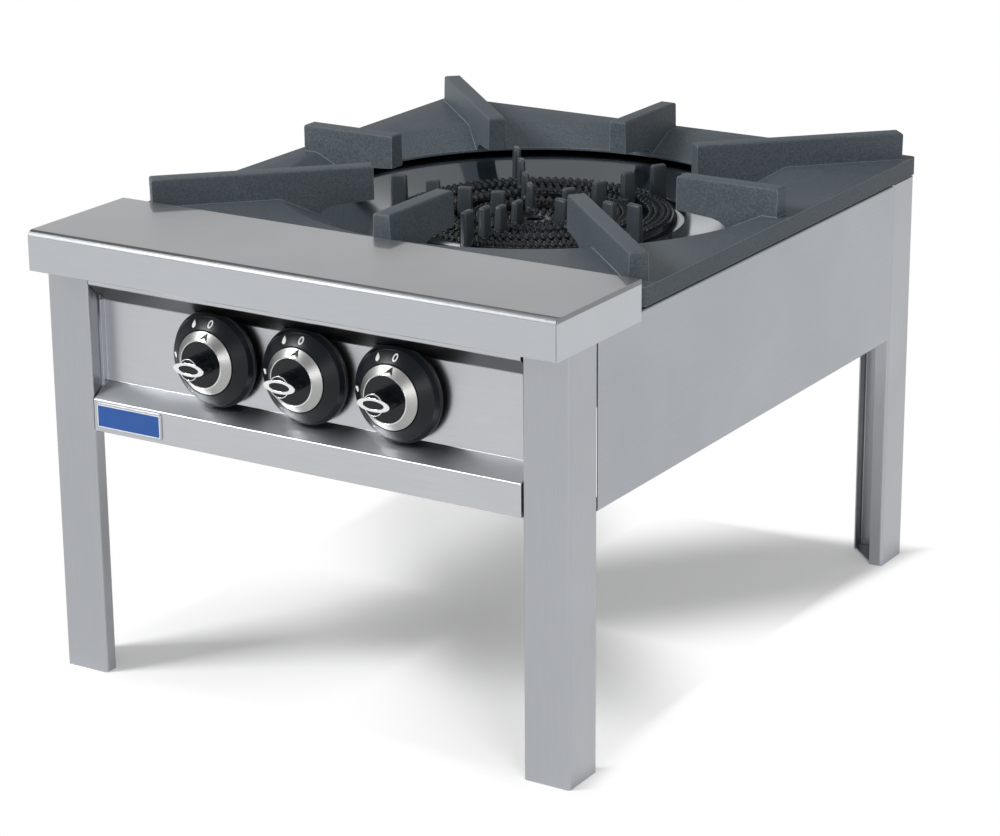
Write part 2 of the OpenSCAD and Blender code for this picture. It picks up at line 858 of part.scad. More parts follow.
// Mixing tube: flared mouth, straight run, elbow and flange under its ring
module mixing_tube(i) {
    x = tube_x[i];
    turn_y = tube_y1[i] - elbow_r;
    low = knob_z + elbow_r;
    top = tube_top[i];
    flare = 20;
    flange_t = 5;
    bore = tube_r - tube_t;
    run = [
        [bore, turn_y - mouth_y],
        [tube_r, turn_y - mouth_y],
        [tube_r, flare],
        [tube_r + 6, 0],
        [tube_r + 6 - tube_t, 0],
        [bore, flare]
    ];
    riser = [
        [bore, 0],
        [tube_r, 0],
        [tube_r, top - flange_t - low],
        [tube_r + 4, top - flange_t - low],
        [tube_r + 4, top - low],
        [port_r, top - low],
        [port_r, top - low - 2],
        [bore, top - low - 4]
    ];
    color(IRON) {
        translate([x, mouth_y, knob_z]) rotate([-90, 0, 0]) rotate_extrude() polygon(run);
        swept([x, turn_y, knob_z], [0, 1, 0], [0, 0, 1], elbow_r)
            difference() {
                circle(tube_r);
                circle(bore);
            }
        translate([x, tube_y1[i], low]) rotate_extrude() polygon(riser);
    }
}

module mixing_tube_outer() {
    mixing_tube(0);
}

module mixing_tube_inner() {
    mixing_tube(1);
}

module mixing_tube_middle() {
    mixing_tube(2);
}

// Injector: hexagon in front of the cross rail, barrel behind it and a nozzle at its end
module injector(i) {
    x = tube_x[i];
    barrel_y1 = shutter_y + shutter_hub_l + shutter_travel;
    color(BRASS)
        difference() {
            union() {
                hex_y(x, knob_z, rail_y - injector_hex, rail_y, barrel_r + 4);
                bar_y(x, knob_z, rail_y - 1, barrel_y1, barrel_r);
                bar_y(x, knob_z, barrel_y1 - 1, mouth_y + 2, 4, 3);
            }
            bar_y(x, knob_z, rail_y - injector_hex - 1, rail_y - injector_hex + 6, feed_r + hole_gap);
            bar_y(x, knob_z, rail_y - injector_hex, mouth_y + 3, 1.2);
        }
}

module injector_outer() {
    injector(0);
}

module injector_inner() {
    injector(1);
}

module injector_middle() {
    injector(2);
}

// Air shutter: a disc whose hub slides along the injector's barrel
module air_shutter(i) {
    x = tube_x[i];
    disc_y = shutter_y + shutter_hub_l - shutter_t;
    color(STEEL)
        difference() {
            union() {
                bar_y(x, knob_z, shutter_y, shutter_y + shutter_hub_l, barrel_r + 4);
                bar_y(x, knob_z, disc_y, disc_y + shutter_t, shutter_r);
                translate([x, shutter_y + 3, knob_z + barrel_r + 2]) cylinder(h = 6, r = 2);
            }
            bar_y(x, knob_z, shutter_y - 1, shutter_y + shutter_hub_l + 1, barrel_r + fit);
        }
}

module air_shutter_outer() {
    air_shutter(0);
}

module air_shutter_inner() {
    air_shutter(1);
}

module air_shutter_middle() {
    air_shutter(2);
}

module manifold() {
    cap = 6;
    color(STEEL) {
        bar_x(manifold_y, manifold_z, -manifold_x1, manifold_x1, pipe_r);
        translate([-manifold_x1 - cap, manifold_y, manifold_z])
            rotate([0, 90, 0])
                cylinder(h = cap, r = pipe_r + 3, $fn = 6);
    }
}

// Brackets that hold the manifold to the back of the control panel
module manifold_brackets() {
    foot_w = 14;
    low_z = manifold_z - pipe_r - 4;
    height = 2 * pipe_r + 8;
    color(STEEL)
        for (x = [knob_x[0] + knob_pitch / 2, knob_x[1] + knob_pitch / 2])
            difference() {
                union() {
                    translate([x, inner_face_y, low_z])
                        cube([bracket_t, manifold_y - inner_face_y + pipe_r + 4, height]);
                    translate([x, inner_face_y, low_z]) cube([foot_w, 2, height]);
                }
                bar_x(manifold_y, manifold_z, x - 1, x + bracket_t + 1, pipe_r + hole_gap);
            }
}

// Pipe from the manifold's end to the inlet at the back
module supply_pipe() {
    nut = 12;
    color(STEEL) {
        pipe(
            [
                [manifold_x1 + nut / 2, manifold_y, manifold_z],
                [supply_x, manifold_y, manifold_z],
                [supply_x, rear_y - sheet_t - nut - 2, manifold_z]
            ],
            pipe_r - 1,
            supply_bend
        );
        translate([manifold_x1, manifold_y, manifold_z])
            rotate([0, 90, 0])
                cylinder(h = nut, r = pipe_r + 4, $fn = 6);
    }
}

// Threaded connector that passes through the rear panel
module inlet_connector() {
    nut = 14;
    y0 = rear_y - sheet_t - nut;
    color(BRASS)
        difference() {
            union() {
                hex_y(supply_x, manifold_z, y0, rear_y - sheet_t, inlet_r + 5);
                bar_y(supply_x, manifold_z, rear_y - sheet_t - 1, rear_y + inlet_nut + inlet_l, inlet_r);
                hex_y(supply_x, manifold_z, rear_y, rear_y + inlet_nut, inlet_r + 5);
            }
            bar_y(supply_x, manifold_z, y0 + 2, rear_y + inlet_nut + inlet_l + 1, inlet_r - 3);
        }
}

plug_y0 = inner_face_y + 11;
plug_l = 28;
plug_r0 = 9;
plug_r1 = 7.5;

// Gas valve: clamped on the manifold, its nose held in the control panel
module gas_valve(i) {
    x = knob_x[i];
    nose_y = face_y - 3;
    color(BRASS)
        difference() {
            union() {
                bar_y(x, knob_z, inner_face_y, valve_y1, valve_r);
                bar_y(x, knob_z, nose_y, inner_face_y + 1, nose_r);
                hex_y(x, knob_z, valve_y1, outlet_y1, feed_r + 4.5);
                translate([x, manifold_y, manifold_z]) cylinder(h = manifold_drop - 4, r = 8);
                bar_x(manifold_y, manifold_z, x - clamp_w / 2, x + clamp_w / 2, pipe_r + 3.5);
            }
            bar_x(manifold_y, manifold_z, x - clamp_w, x + clamp_w, pipe_r + hole_gap);
            bar_y(x, knob_z, nose_y - 1, plug_y0 + 1, spindle_r + 0.3);
            bar_y(x, knob_z, plug_y0, plug_y0 + plug_l, plug_r0 + fit, plug_r1 + fit);
            bar_y(x, knob_z, plug_y0 + plug_l - 1, outlet_y1 - 4, 3);
            bar_y(x, knob_z, outlet_y1 - 6, outlet_y1 + 1, feed_r + hole_gap);
        }
}

module gas_valve_left() {
    gas_valve(0);
}

module gas_valve_centre() {
    gas_valve(1);
}

module gas_valve_right() {
    gas_valve(2);
}

spindle_y1 = plug_y0 + 10;

// Tapered plug that the spindle turns
module valve_plug(i) {
    x = knob_x[i];
    slack = 0.4;
    step = (plug_r0 - plug_r1) / plug_l;
    color(BRASS)
        difference() {
            bar_y(
                x, knob_z, plug_y0 + slack, plug_y0 + plug_l - slack,
                plug_r0 - step * slack, plug_r1 + step * slack
            );
            bar_y(x, knob_z, plug_y0, spindle_y1 + push + 1, spindle_r + fit);
            translate([x, plug_y0 + plug_l - 7, knob_z - plug_r0 - 1]) cylinder(h = plug_r0, r = 2);
        }
}

module valve_plug_left() {
    valve_plug(0);
}

module valve_plug_centre() {
    valve_plug(1);
}

module valve_plug_right() {
    valve_plug(2);
}

// Spindle from the knob's hub into the plug
module spindle(i) {
    x = knob_x[i];
    y0 = face_y - centre_d + 5.4;
    color(BRASS)
        difference() {
            bar_y(x, knob_z, y0, spindle_y1, spindle_r);
            translate([x - spindle_r, y0 - 1, knob_z + spindle_r - 1.2]) cube([2 * spindle_r, 11, 2]);
        }
}

module spindle_left() {
    spindle(0);
}

module spindle_centre() {
    spindle(1);
}

module spindle_right() {
    spindle(2);
}

// Copper tube from a valve's outlet to its injector, stepped aside where the two aren't in line
module feed_tube(i) {
    y0 = outlet_y1 - 3.5;
    y1 = rail_y - injector_hex + 5.5;
    step_y = (outlet_y1 + rail_y - injector_hex) / 2;
    shift = tube_x[i] - knob_x[i];
    color(COPPER)
        if (abs(shift) < 0.5) {
            bar_y(knob_x[i], knob_z, y0, y1, feed_r);
        } else {
            pipe(
                [
                    [knob_x[i], y0, knob_z],
                    [knob_x[i], step_y, knob_z],
                    [tube_x[i], step_y, knob_z],
                    [tube_x[i], y1, knob_z]
                ],
                feed_r,
                min(7.5, abs(shift) / 2 - 0.2)
            );
        }
}

module feed_tube_left() {
    feed_tube(0);
}

module feed_tube_centre() {
    feed_tube(1);
}

module feed_tube_right() {
    feed_tube(2);
}

pilot_low_z = base_z - 14;

// Plate under the outer ring that holds the pilot and the thermocouple
module pilot_bracket() {
    reach = [pilot_gap_r - 7, outer_in_r + 14];
    width = 28;
    color(STEEL)
        translate([0, burner_y, base_z - bracket_t])
            difference() {
                rotate((pilot_angle + couple_angle) / 2)
                    translate([reach[0], -width / 2, 0])
                        cube([reach[1] - reach[0], width, bracket_t]);
                translate([pilot_at[0], pilot_at[1], -1]) cylinder(h = bracket_t + 2, r = pilot_r + hole_gap);
                translate([couple_at[0], couple_at[1], -1])
                    cylinder(h = bracket_t + 2, r = couple_r + hole_gap);
            }
}

// Pilot burner: a slotted tube in the gap between two rings
module pilot_burner() {
    top = crown_z - 9;
    color(BRASS)
        translate([pilot_at[0], burner_y + pilot_at[1], 0])
            difference() {
                union() {
                    translate([0, 0, pilot_low_z]) cylinder(h = top - pilot_low_z, r = pilot_r);
                    translate([0, 0, base_z - bracket_t - 6]) cylinder(h = 6, r = 6, $fn = 6);
                }
                translate([0, 0, top - 12]) cylinder(h = 13, r = pilot_r - 1);
                translate([-0.8, -pilot_r - 1, top - 5]) cube([1.6, 2 * pilot_r + 2, 6]);
                translate([0, 0, pilot_low_z - 1]) cylinder(h = 5, r = 2 + hole_gap);
            }
}

pilot_run_z = manifold_z + 4;
pilot_turn_y = manifold_y + 25;

// Thin copper tube from the right valve to the pilot
module pilot_tube() {
    r = 2;
    x = pilot_at[0];
    y = burner_y + pilot_at[1];
    end_x = knob_x[2] - valve_r - hole_gap;
    port_y = manifold_y + 5;
    color(COPPER) {
        pipe(
            [
                [x, y, pilot_low_z + 3],
                [x, y, pilot_run_z],
                [x, pilot_turn_y, pilot_run_z],
                [x, pilot_turn_y, knob_z],
                [x, port_y, knob_z],
                [end_x, port_y, knob_z]
            ],
            r,
            8
        );
        translate([end_x - 7, port_y, knob_z]) rotate([0, 90, 0]) cylinder(h = 7, r = 4.5, $fn = 6);
    }
}

// Thermocouple beside the pilot, with its lead to the right valve
module thermocouple() {
    r = 1.2;
    x = couple_at[0];
    y = burner_y + couple_at[1];
    rise = 7;
    port_z = knob_z + rise;
    port_y = manifold_y - 9;
    end_x = knob_x[2] - sqrt(pow(valve_r, 2) - pow(rise - r, 2)) - hole_gap;
    color(COPPER) {
        pipe(
            [
                [x, y, pilot_low_z],
                [x, y, pilot_run_z + 3],
                [x, pilot_turn_y + 8, pilot_run_z + 3],
                [x, pilot_turn_y + 8, port_z],
                [x, port_y, port_z],
                [end_x, port_y, port_z]
            ],
            r,
            6
        );
        translate([x, y, pilot_low_z]) cylinder(h = crown_z - 11 - pilot_low_z, r = couple_r);
        translate([x, y, base_z - bracket_t - 5]) cylinder(h = 5, r = 4, $fn = 6);
    }
}

// Dial: fixed ring that stands on a narrow foot, hollow behind its rim, its top trimmed along the slant
module dial(i) {
    hole = knob_r + knob_gap;
    wall = 2;
    points = [
        [hole, 0],
        [hole, dial_d - 0.6],
        [hole + 0.6, dial_d],
        [dial_front_r - 1, dial_rim + 0.6],
        [dial_front_r, dial_rim],
        [dial_r - 1.4, dial_stand + 3.2],
        [dial_r, dial_stand + 2.6],
        [dial_r, dial_stand],
        [dial_r - wall, dial_stand],
        [dial_r - wall, dial_stand + 2],
        [dial_front_r - wall, dial_rim - wall],
        [dial_foot_r, dial_d - 3.5 * wall],
        [dial_foot_r, 0]
    ];
    slant_gap = 0.8;
    over_slant = [
        [face_y + 1, face_top_z - slant_gap],
        [face_y, face_top_z - slant_gap],
        [leg_y0, face_top_z + hood_h - slant_gap],
        [leg_y0, ledge_z],
        [face_y + 1, ledge_z]
    ];
    color(BLACK)
        difference() {
            turned(knob_x[i], points);
            along_x(knob_x[i] - dial_r, knob_x[i] + dial_r) polygon(over_slant);
        }
}

module dial_left() {
    dial(0);
}

module dial_centre() {
    dial(1);
}

module dial_right() {
    dial(2);
}

ring_d = dial_d + 0.5;

// Knob: hollow skirt, black centre, and a grip of a flat blade across a round stem
module knob(i) {
    x = knob_x[i];
    hub = spindle_r + 3;
    tip = grip_d - 0.8;
    skin = 1.1;
    body = [
        [0, centre_d - 0.4],
        [centre_r - 1.5, centre_d - 0.4],
        [centre_r - 1.2, centre_d - skin],
        [centre_r, centre_d - skin],
        [knob_r, ring_d - skin],
        [knob_r, 8],
        [knob_r - 2.2, 8],
        [knob_r - 2.2, ring_d - 3],
        [centre_r - 2, centre_d - 4],
        [hub, centre_d - 4],
        [hub, 7.5],
        [0, 7.5]
    ];
    color(BLACK)
        difference() {
            union() {
                turned(x, body);
                turned(x, [[0, centre_d - 2], [stem_r, centre_d - 2], [stem_r, tip], [0, tip]]);
                translate([x, face_y - centre_d + 2, knob_z])
                    rotate([90, 0, 0]) {
                        linear_extrude(tip - centre_d + 2) polygon(oval(blade_a, blade_b));
                        linear_extrude(tip - centre_d + 2.5) polygon(oval(blade_a * 0.64, blade_b * 0.6));
                    }
            }
            bar_y(x, knob_z, face_y - centre_d + 5, face_y, spindle_r + fit);
        }
}

module knob_left() {
    knob(0);
}

module knob_centre() {
    knob(1);
}

module knob_right() {
    knob(2);
}

// Brushed conical ring on the knob's shoulder
module knob_ring(i) {
    points = [
        [knob_r, ring_d],
        [centre_r, centre_d],
        [centre_r - 1, centre_d],
        [centre_r - 1, centre_d - 0.9],
        [centre_r, centre_d - 1],
        [knob_r, ring_d - 1]
    ];
    color(CHROME) turned(knob_x[i], points);
}

module knob_ring_left() {
    knob_ring(0);
}

module knob_ring_centre() {
    knob_ring(1);
}

module knob_ring_right() {
    knob_ring(2);
}

// Bright trim on the grip's tip: an oval band and the rim of the stem
module knob_trim(i) {
    color(CHROME)
        translate([knob_x[i], face_y - grip_d + 0.8, knob_z])
            rotate([90, 0, 0])
                linear_extrude(0.8)
                    difference() {
                        union() {
                            polygon(oval(blade_a, blade_b));
                            difference() {
                                circle(stem_r);
                                circle(stem_r - 0.7);
                            }
                        }
                        polygon(oval(blade_a * 0.66, blade_b * 0.62));
                    }
}

module knob_trim_left() {
    knob_trim(0);
}

module knob_trim_centre() {
    knob_trim(1);
}

module knob_trim_right() {
    knob_trim(2);
}

// One finger of the pan support: side outline crossed with a drafted section
module finger(outer) {
    top = rest_z;
    foot = collar_r + 1;
    low = deck_z - collar_drop;
    side_outline = concat(
        [[finger_in_r, low + 15.5], [finger_in_r + 32, low + 13]],
        [for (a = [20:20:80]) [foot - 25 + 25 * sin(a), low + 13 * cos(a)]],
        [[foot, low + 0.5], [collar_top_r - 8, plate_z - 6], [outer - 1, plate_z - 6]],
        corner([outer - 1, plate_z], [outer, top], [finger_in_r, top], 3),
        corner([outer, top], [finger_in_r, top], [finger_in_r, low], 3)
    );
    w = finger_w / 2;
    f = w + finger_draft / 2;
    section = concat(
        [[-f, low - 1], [f, low - 1]],
        corner([f, low], [w, top], [-w, top], 2.5),
        corner([w, top], [-w, top], [-f, low], 2.5)
    );
    intersection() {
        rotate([90, 0, 0])
            translate([0, 0, -finger_w])
                linear_extrude(2 * finger_w)
                    polygon(side_outline);
        translate([finger_in_r - 5, 0, 0])
            rotate([90, 0, 90])
                linear_extrude(outer - finger_in_r + 10)
                    polygon(section);
    }
}

// Cast pan support: square frame, conical collar and eight fingers
module pan_support() {
    s = grate_s / 2;
    square_outline = [[-s, -s], [s, -s], [s, s], [-s, s]];
    corners = [5, 5, 5, 5];
    inner_s = s - skirt_t;
    low = deck_z - collar_drop;
    collar = [
        [collar_r, low + 1],
        [collar_r + 1, low],
        [collar_r + 3, low + 0.6],
        [collar_top_r + 1, plate_z - plate_t],
        [collar_top_r + 14, plate_z - plate_t],
        [collar_top_r + 14, plate_z],
        [collar_top_r + 2, plate_z],
        [collar_top_r - 1, plate_z - 1.2],
        [collar_r, low + 3]
    ];
    color(IRON)
        translate([0, burner_y, 0]) {
            difference() {
                translate([0, 0, deck_z]) linear_extrude(grate_h) polygon(rounded(square_outline, corners));
                translate([-inner_s, -inner_s, deck_z - 1]) cube([2 * inner_s, 2 * inner_s, grate_h - plate_t + 1]);
                translate([0, 0, deck_z - 1]) cylinder(h = grate_h + 2, r = collar_top_r + 10);
            }
            rotate_extrude($fn = 128) polygon(collar);
            for (a = [0:90:270]) {
                rotate(a) finger(s - side_end);
                rotate(a + 45) finger(s * sqrt(2) - corner_end);
            }
        }
}

leg_front_left();
leg_front_right();
leg_rear_left();
leg_rear_right();
foot_plates();
ledge();
control_panel();
side_panel_left();
side_panel_right();
rear_panel();
front_rail();
panel_screws();
spill_tray();
burner_bars();
burner_bolts();
outer_burner_ring();
middle_burner_ring();
inner_burner_ring();
mixing_tube_outer();
mixing_tube_inner();
mixing_tube_middle();
injector_outer();
injector_inner();
injector_middle();
air_shutter_outer();
air_shutter_inner();
air_shutter_middle();
manifold();
manifold_brackets();
supply_pipe();
inlet_connector();
gas_valve_left();
gas_valve_centre();
gas_valve_right();
valve_plug_left();
valve_plug_centre();
valve_plug_right();
spindle_left();
spindle_centre();
spindle_right();
feed_tube_left();
feed_tube_centre();
feed_tube_right();
pilot_burner();
pilot_bracket();
pilot_tube();
thermocouple();
dial_left();
dial_centre();
dial_right();
knob_left();
knob_centre();
knob_right();
knob_ring_left();
knob_ring_centre();
knob_ring_right();
knob_trim_left();
knob_trim_centre();
knob_trim_right();
pan_support();
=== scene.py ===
import json
import math

import bmesh
import bpy
from mathutils import Matrix, Vector


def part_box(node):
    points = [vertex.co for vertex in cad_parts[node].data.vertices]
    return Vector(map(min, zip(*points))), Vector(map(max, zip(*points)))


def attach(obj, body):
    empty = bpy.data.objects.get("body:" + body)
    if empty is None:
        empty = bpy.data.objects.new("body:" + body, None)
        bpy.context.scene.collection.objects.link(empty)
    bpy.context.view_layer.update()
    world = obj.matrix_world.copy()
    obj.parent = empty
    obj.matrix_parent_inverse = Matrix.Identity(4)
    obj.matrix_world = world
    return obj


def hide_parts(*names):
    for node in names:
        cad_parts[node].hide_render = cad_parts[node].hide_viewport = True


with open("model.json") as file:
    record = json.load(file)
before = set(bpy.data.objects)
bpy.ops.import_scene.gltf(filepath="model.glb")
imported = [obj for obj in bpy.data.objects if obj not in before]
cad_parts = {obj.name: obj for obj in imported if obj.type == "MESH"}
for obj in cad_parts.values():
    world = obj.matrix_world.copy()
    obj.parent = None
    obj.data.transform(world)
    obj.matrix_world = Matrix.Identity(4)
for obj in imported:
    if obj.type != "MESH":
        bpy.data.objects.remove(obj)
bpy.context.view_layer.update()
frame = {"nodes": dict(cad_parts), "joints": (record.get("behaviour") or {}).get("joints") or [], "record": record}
nodes = frame["nodes"]
scene = bpy.context.scene
mm = 0.001
sides = ["left", "centre", "right"]
print("frame loaded:", len(nodes), "nodes")


# camera
cameraView = {
    "lens": 112.23,
    "sensor": 36.0,
    "place": (1.64323, -2.63475, 1.24075),
    "azimuth": 31.9523,
    "elevation": 18.3322,
    "roll": -0.4359,
    "reach": 60,
}


def placeCamera(view):
    turn = math.radians(view["azimuth"])
    tilt = math.radians(view["elevation"])
    roll = math.radians(view["roll"])
    ahead = Vector((-math.sin(turn) * math.cos(tilt), math.cos(turn) * math.cos(tilt), -math.sin(tilt)))
    right = ahead.cross(Vector((0, 0, 1))).normalized()
    up = right.cross(ahead)
    rolledRight = right * math.cos(roll) + up * math.sin(roll)
    rolledUp = up * math.cos(roll) - right * math.sin(roll)
    data = bpy.data.cameras.new("photoCamera")
    data.lens = view["lens"]
    data.sensor_width = view["sensor"]
    data.clip_end = view["reach"]
    camera = bpy.data.objects.new("photoCamera", data)
    scene.collection.objects.link(camera)
    axes = Matrix((rolledRight, rolledUp, -ahead)).transposed().to_4x4()
    camera.matrix_world = Matrix.Translation(view["place"]) @ axes
    scene.camera = camera


placeCamera(cameraView)


# light, world and floor
lamps = {
    "frontLamp": {"place": (-1.9, -2.1, 2.5), "aim": (0, 0, 0.3), "size": 1.1, "power": 88},
    "rightLamp": {"place": (2.4, -2.1, 1.3), "aim": (0, 0.1, 0.3), "size": 1.1, "power": 30},
    "topLamp": {"place": (-0.3, 0.2, 3.2), "aim": (0, 0.1, 0.3), "size": 2.2, "power": 14},
}
worldLook = {
    "diffuse": 0.34,
    "stops": [(0.0, 0.96), (0.18, 0.84), (0.3, 0.52), (0.42, 0.26), (0.6, 0.2), (0.85, 0.5), (1.0, 0.7)],
}
floorLook = {"tint": 0.9, "lift": 0.2, "feet": (0.275, 0.336), "clearFrom": 0.2, "clearTo": 0.95,
             "past": 0.02, "pastGain": 5, "size": 40, "drop": 0.2 * mm}


def addLamp(name, look):
    data = bpy.data.lights.new(name, "AREA")
    data.size = look["size"]
    data.energy = look["power"]
    lamp = bpy.data.objects.new(name, data)
    scene.collection.objects.link(lamp)
    lamp.location = look["place"]
    lamp.rotation_mode = "QUATERNION"
    lamp.rotation_quaternion = (Vector(look["aim"]) - Vector(look["place"])).to_track_quat("-Z", "Y")


def addMath(tree, operation, first, second):
    step = tree.nodes.new("ShaderNodeMath")
    step.operation = operation
    for slotIndex, value in enumerate((first, second)):
        if isinstance(value, (int, float)):
            step.inputs[slotIndex].default_value = value
        else:
            tree.links.new(value, step.inputs[slotIndex])
    return step.outputs[0]


def seenRays(tree):
    # 1 for camera, glossy and transmission rays
    path = tree.nodes.new("ShaderNodeLightPath")
    first = addMath(tree, "MAXIMUM", path.outputs["Is Camera Ray"], path.outputs["Is Glossy Ray"])
    return addMath(tree, "MAXIMUM", first, path.outputs["Is Transmission Ray"])


def splitPlace(tree, coordinates):
    place = tree.nodes.new("ShaderNodeTexCoord")
    parts = tree.nodes.new("ShaderNodeSeparateXYZ")
    tree.links.new(place.outputs[coordinates], parts.inputs[0])
    return parts.outputs


def mixShaders(tree, factor, first, second, outKind):
    # the second shader is seen where the factor is 1
    mix = tree.nodes.new("ShaderNodeMixShader")
    for slotIndex, value in enumerate((factor, first.outputs[0], second.outputs[0])):
        tree.links.new(value, mix.inputs[slotIndex])
    out = tree.nodes.new(outKind)
    tree.links.new(mix.outputs[0], out.inputs["Surface"])


def makeWorld(look):
    world = bpy.data.worlds.new("studioWorld")
    scene.world = world
    world.use_nodes = True
    tree = world.node_tree
    tree.nodes.clear()
    ramp = tree.nodes.new("ShaderNodeValToRGB")
    stops = ramp.color_ramp.elements
    for height, _ in look["stops"][1:-1]:
        stops.new(height)
    for stop, (height, level) in zip(stops, look["stops"]):
        stop.position = height
        stop.color = (level,) * 3 + (1,)
    tree.links.new(splitPlace(tree, "Generated")["Z"], ramp.inputs["Fac"])
    seen = tree.nodes.new("ShaderNodeBackground")
    tree.links.new(ramp.outputs["Color"], seen.inputs["Color"])
    lit = tree.nodes.new("ShaderNodeBackground")
    lit.inputs["Strength"].default_value = look["diffuse"]
    mixShaders(tree, seenRays(tree), lit, seen, "ShaderNodeOutputWorld")


def makeFloor(look):
    material = bpy.data.materials.new("paleFloor")
    material.use_nodes = True
    tree = material.node_tree
    tree.nodes.clear()
    seenFactor = seenRays(tree)
    matt = tree.nodes.new("ShaderNodeBsdfDiffuse")
    matt.inputs["Color"].default_value = (look["tint"],) * 3 + (1,)
    lift = tree.nodes.new("ShaderNodeEmission")
    tree.links.new(addMath(tree, "MULTIPLY", seenFactor, look["lift"]), lift.inputs["Strength"])
    both = tree.nodes.new("ShaderNodeAddShader")
    tree.links.new(matt.outputs[0], both.inputs[0])
    tree.links.new(lift.outputs[0], both.inputs[1])
    # the shade lies along the lines from the feet to the middle, and fades to plain white past them
    parts = splitPlace(tree, "Object")
    shares = []
    for axis, foot in zip("XY", look["feet"]):
        shares.append(addMath(tree, "DIVIDE", addMath(tree, "ABSOLUTE", parts[axis], 0), foot))
    apart = addMath(tree, "ABSOLUTE", addMath(tree, "SUBTRACT", shares[0], shares[1]), 0)
    beyond = addMath(tree, "SUBTRACT", addMath(tree, "MAXIMUM", shares[0], shares[1]), 1 + look["past"])
    outside = addMath(tree, "MULTIPLY", addMath(tree, "MAXIMUM", beyond, 0), look["pastGain"])
    fade = tree.nodes.new("ShaderNodeMapRange")
    fade.interpolation_type = "SMOOTHSTEP"
    fade.inputs["From Min"].default_value = look["clearFrom"]
    fade.inputs["From Max"].default_value = look["clearTo"]
    tree.links.new(addMath(tree, "ADD", apart, outside), fade.inputs["Value"])
    white = tree.nodes.new("ShaderNodeEmission")
    far = addMath(tree, "MULTIPLY", fade.outputs[0], seenFactor)
    mixShaders(tree, far, both, white, "ShaderNodeOutputMaterial")
    bm = bmesh.new()
    bmesh.ops.create_grid(bm, x_segments=1, y_segments=1, size=look["size"] / 2)
    bmesh.ops.translate(bm, verts=bm.verts, vec=(0, 0, -look["drop"]))
    mesh = bpy.data.meshes.new("floor")
    bm.to_mesh(mesh)
    bm.free()
    mesh.materials.append(material)
    floor = bpy.data.objects.new("floor", mesh)
    scene.collection.objects.link(floor)


for lampName, lampLook in lamps.items():
    addLamp(lampName, lampLook)
makeWorld(worldLook)
makeFloor(floorLook)
scene.view_settings.view_transform = "Standard"
print("studio made")


# shader groups
brushLook = {"fine": 1100, "coarse": 28, "detail": 3.0, "rough": 0.6, "smudgeDetail": 4.0, "smudgeBend": 0.6}
grainLook = {"detail": 5.0, "rough": 0.62, "swellDetail": 3.0, "swellShare": 0.6}
edgeSamples = 6


def newGroup(name, inputs, outputs):
    tree = bpy.data.node_groups.new(name, "ShaderNodeTree")
    for direction, sockets in (("INPUT", inputs), ("OUTPUT", outputs)):
        for label, kind in sockets.items():
            tree.interface.new_socket(label, in_out=direction, socket_type="NodeSocket" + kind)
    return tree, tree.nodes.new("NodeGroupInput"), tree.nodes.new("NodeGroupOutput")


def addNoise(tree, place, detail, rough=0.5, bend=0.0):
    noise = tree.nodes.new("ShaderNodeTexNoise")
    noise.inputs["Detail"].default_value = detail
    noise.inputs["Roughness"].default_value = rough
    noise.inputs["Distortion"].default_value = bend
    tree.links.new(place, noise.inputs["Vector"])
    return noise


def makeBrushing(look):
    # fine lines along one axis, and broad soft smudges
    tree, start, end = newGroup("steelBrushing", {"Stretch": "Vector", "Smudge Scale": "Float"},
                                {"Line": "Float", "Smudge": "Float"})
    place = tree.nodes.new("ShaderNodeTexCoord").outputs["Object"]
    stretch = tree.nodes.new("ShaderNodeVectorMath")
    stretch.operation = "MULTIPLY"
    tree.links.new(place, stretch.inputs[0])
    tree.links.new(start.outputs["Stretch"], stretch.inputs[1])
    line = addNoise(tree, stretch.outputs[0], look["detail"], look["rough"])
    line.inputs["Scale"].default_value = 1.0
    smudge = addNoise(tree, place, look["smudgeDetail"], bend=look["smudgeBend"])
    tree.links.new(start.outputs["Smudge Scale"], smudge.inputs["Scale"])
    tree.links.new(line.outputs["Fac"], end.inputs["Line"])
    tree.links.new(smudge.outputs["Fac"], end.inputs["Smudge"])
    return tree


def makeCasting(look):
    # sand grain of a casting, with broad swells
    tree, start, end = newGroup("castGrain", {"Grain Scale": "Float", "Swell Scale": "Float"},
                                {"Grain": "Float", "Swell": "Float", "Height": "Float"})
    place = tree.nodes.new("ShaderNodeTexCoord").outputs["Object"]
    grain = addNoise(tree, place, look["detail"], look["rough"])
    swell = addNoise(tree, place, look["swellDetail"])
    for texture, label in ((grain, "Grain"), (swell, "Swell")):
        tree.links.new(start.outputs[label + " Scale"], texture.inputs["Scale"])
        tree.links.new(texture.outputs["Fac"], end.inputs[label])
    low = addMath(tree, "MULTIPLY", swell.outputs["Fac"], look["swellShare"])
    tree.links.new(addMath(tree, "ADD", grain.outputs["Fac"], low), end.inputs["Height"])
    return tree


def makeEdges(samples):
    # rounded edge normal, and a mask that is 1 on edges
    tree, start, end = newGroup("softEdge", {"Radius": "Float", "Gain": "Float"},
                                {"Edge": "Float", "Normal": "Vector"})
    bevel = tree.nodes.new("ShaderNodeBevel")
    bevel.samples = samples
    tree.links.new(start.outputs["Radius"], bevel.inputs["Radius"])
    plain = tree.nodes.new("ShaderNodeNewGeometry")
    dot = tree.nodes.new("ShaderNodeVectorMath")
    dot.operation = "DOT_PRODUCT"
    tree.links.new(bevel.outputs[0], dot.inputs[0])
    tree.links.new(plain.outputs["Normal"], dot.inputs[1])
    apart = addMath(tree, "SUBTRACT", 1.0, dot.outputs["Value"])
    mask = tree.nodes.new("ShaderNodeClamp")
    tree.links.new(addMath(tree, "MULTIPLY", apart, start.outputs["Gain"]), mask.inputs[0])
    tree.links.new(mask.outputs[0], end.inputs["Edge"])
    tree.links.new(bevel.outputs[0], end.inputs["Normal"])
    return tree


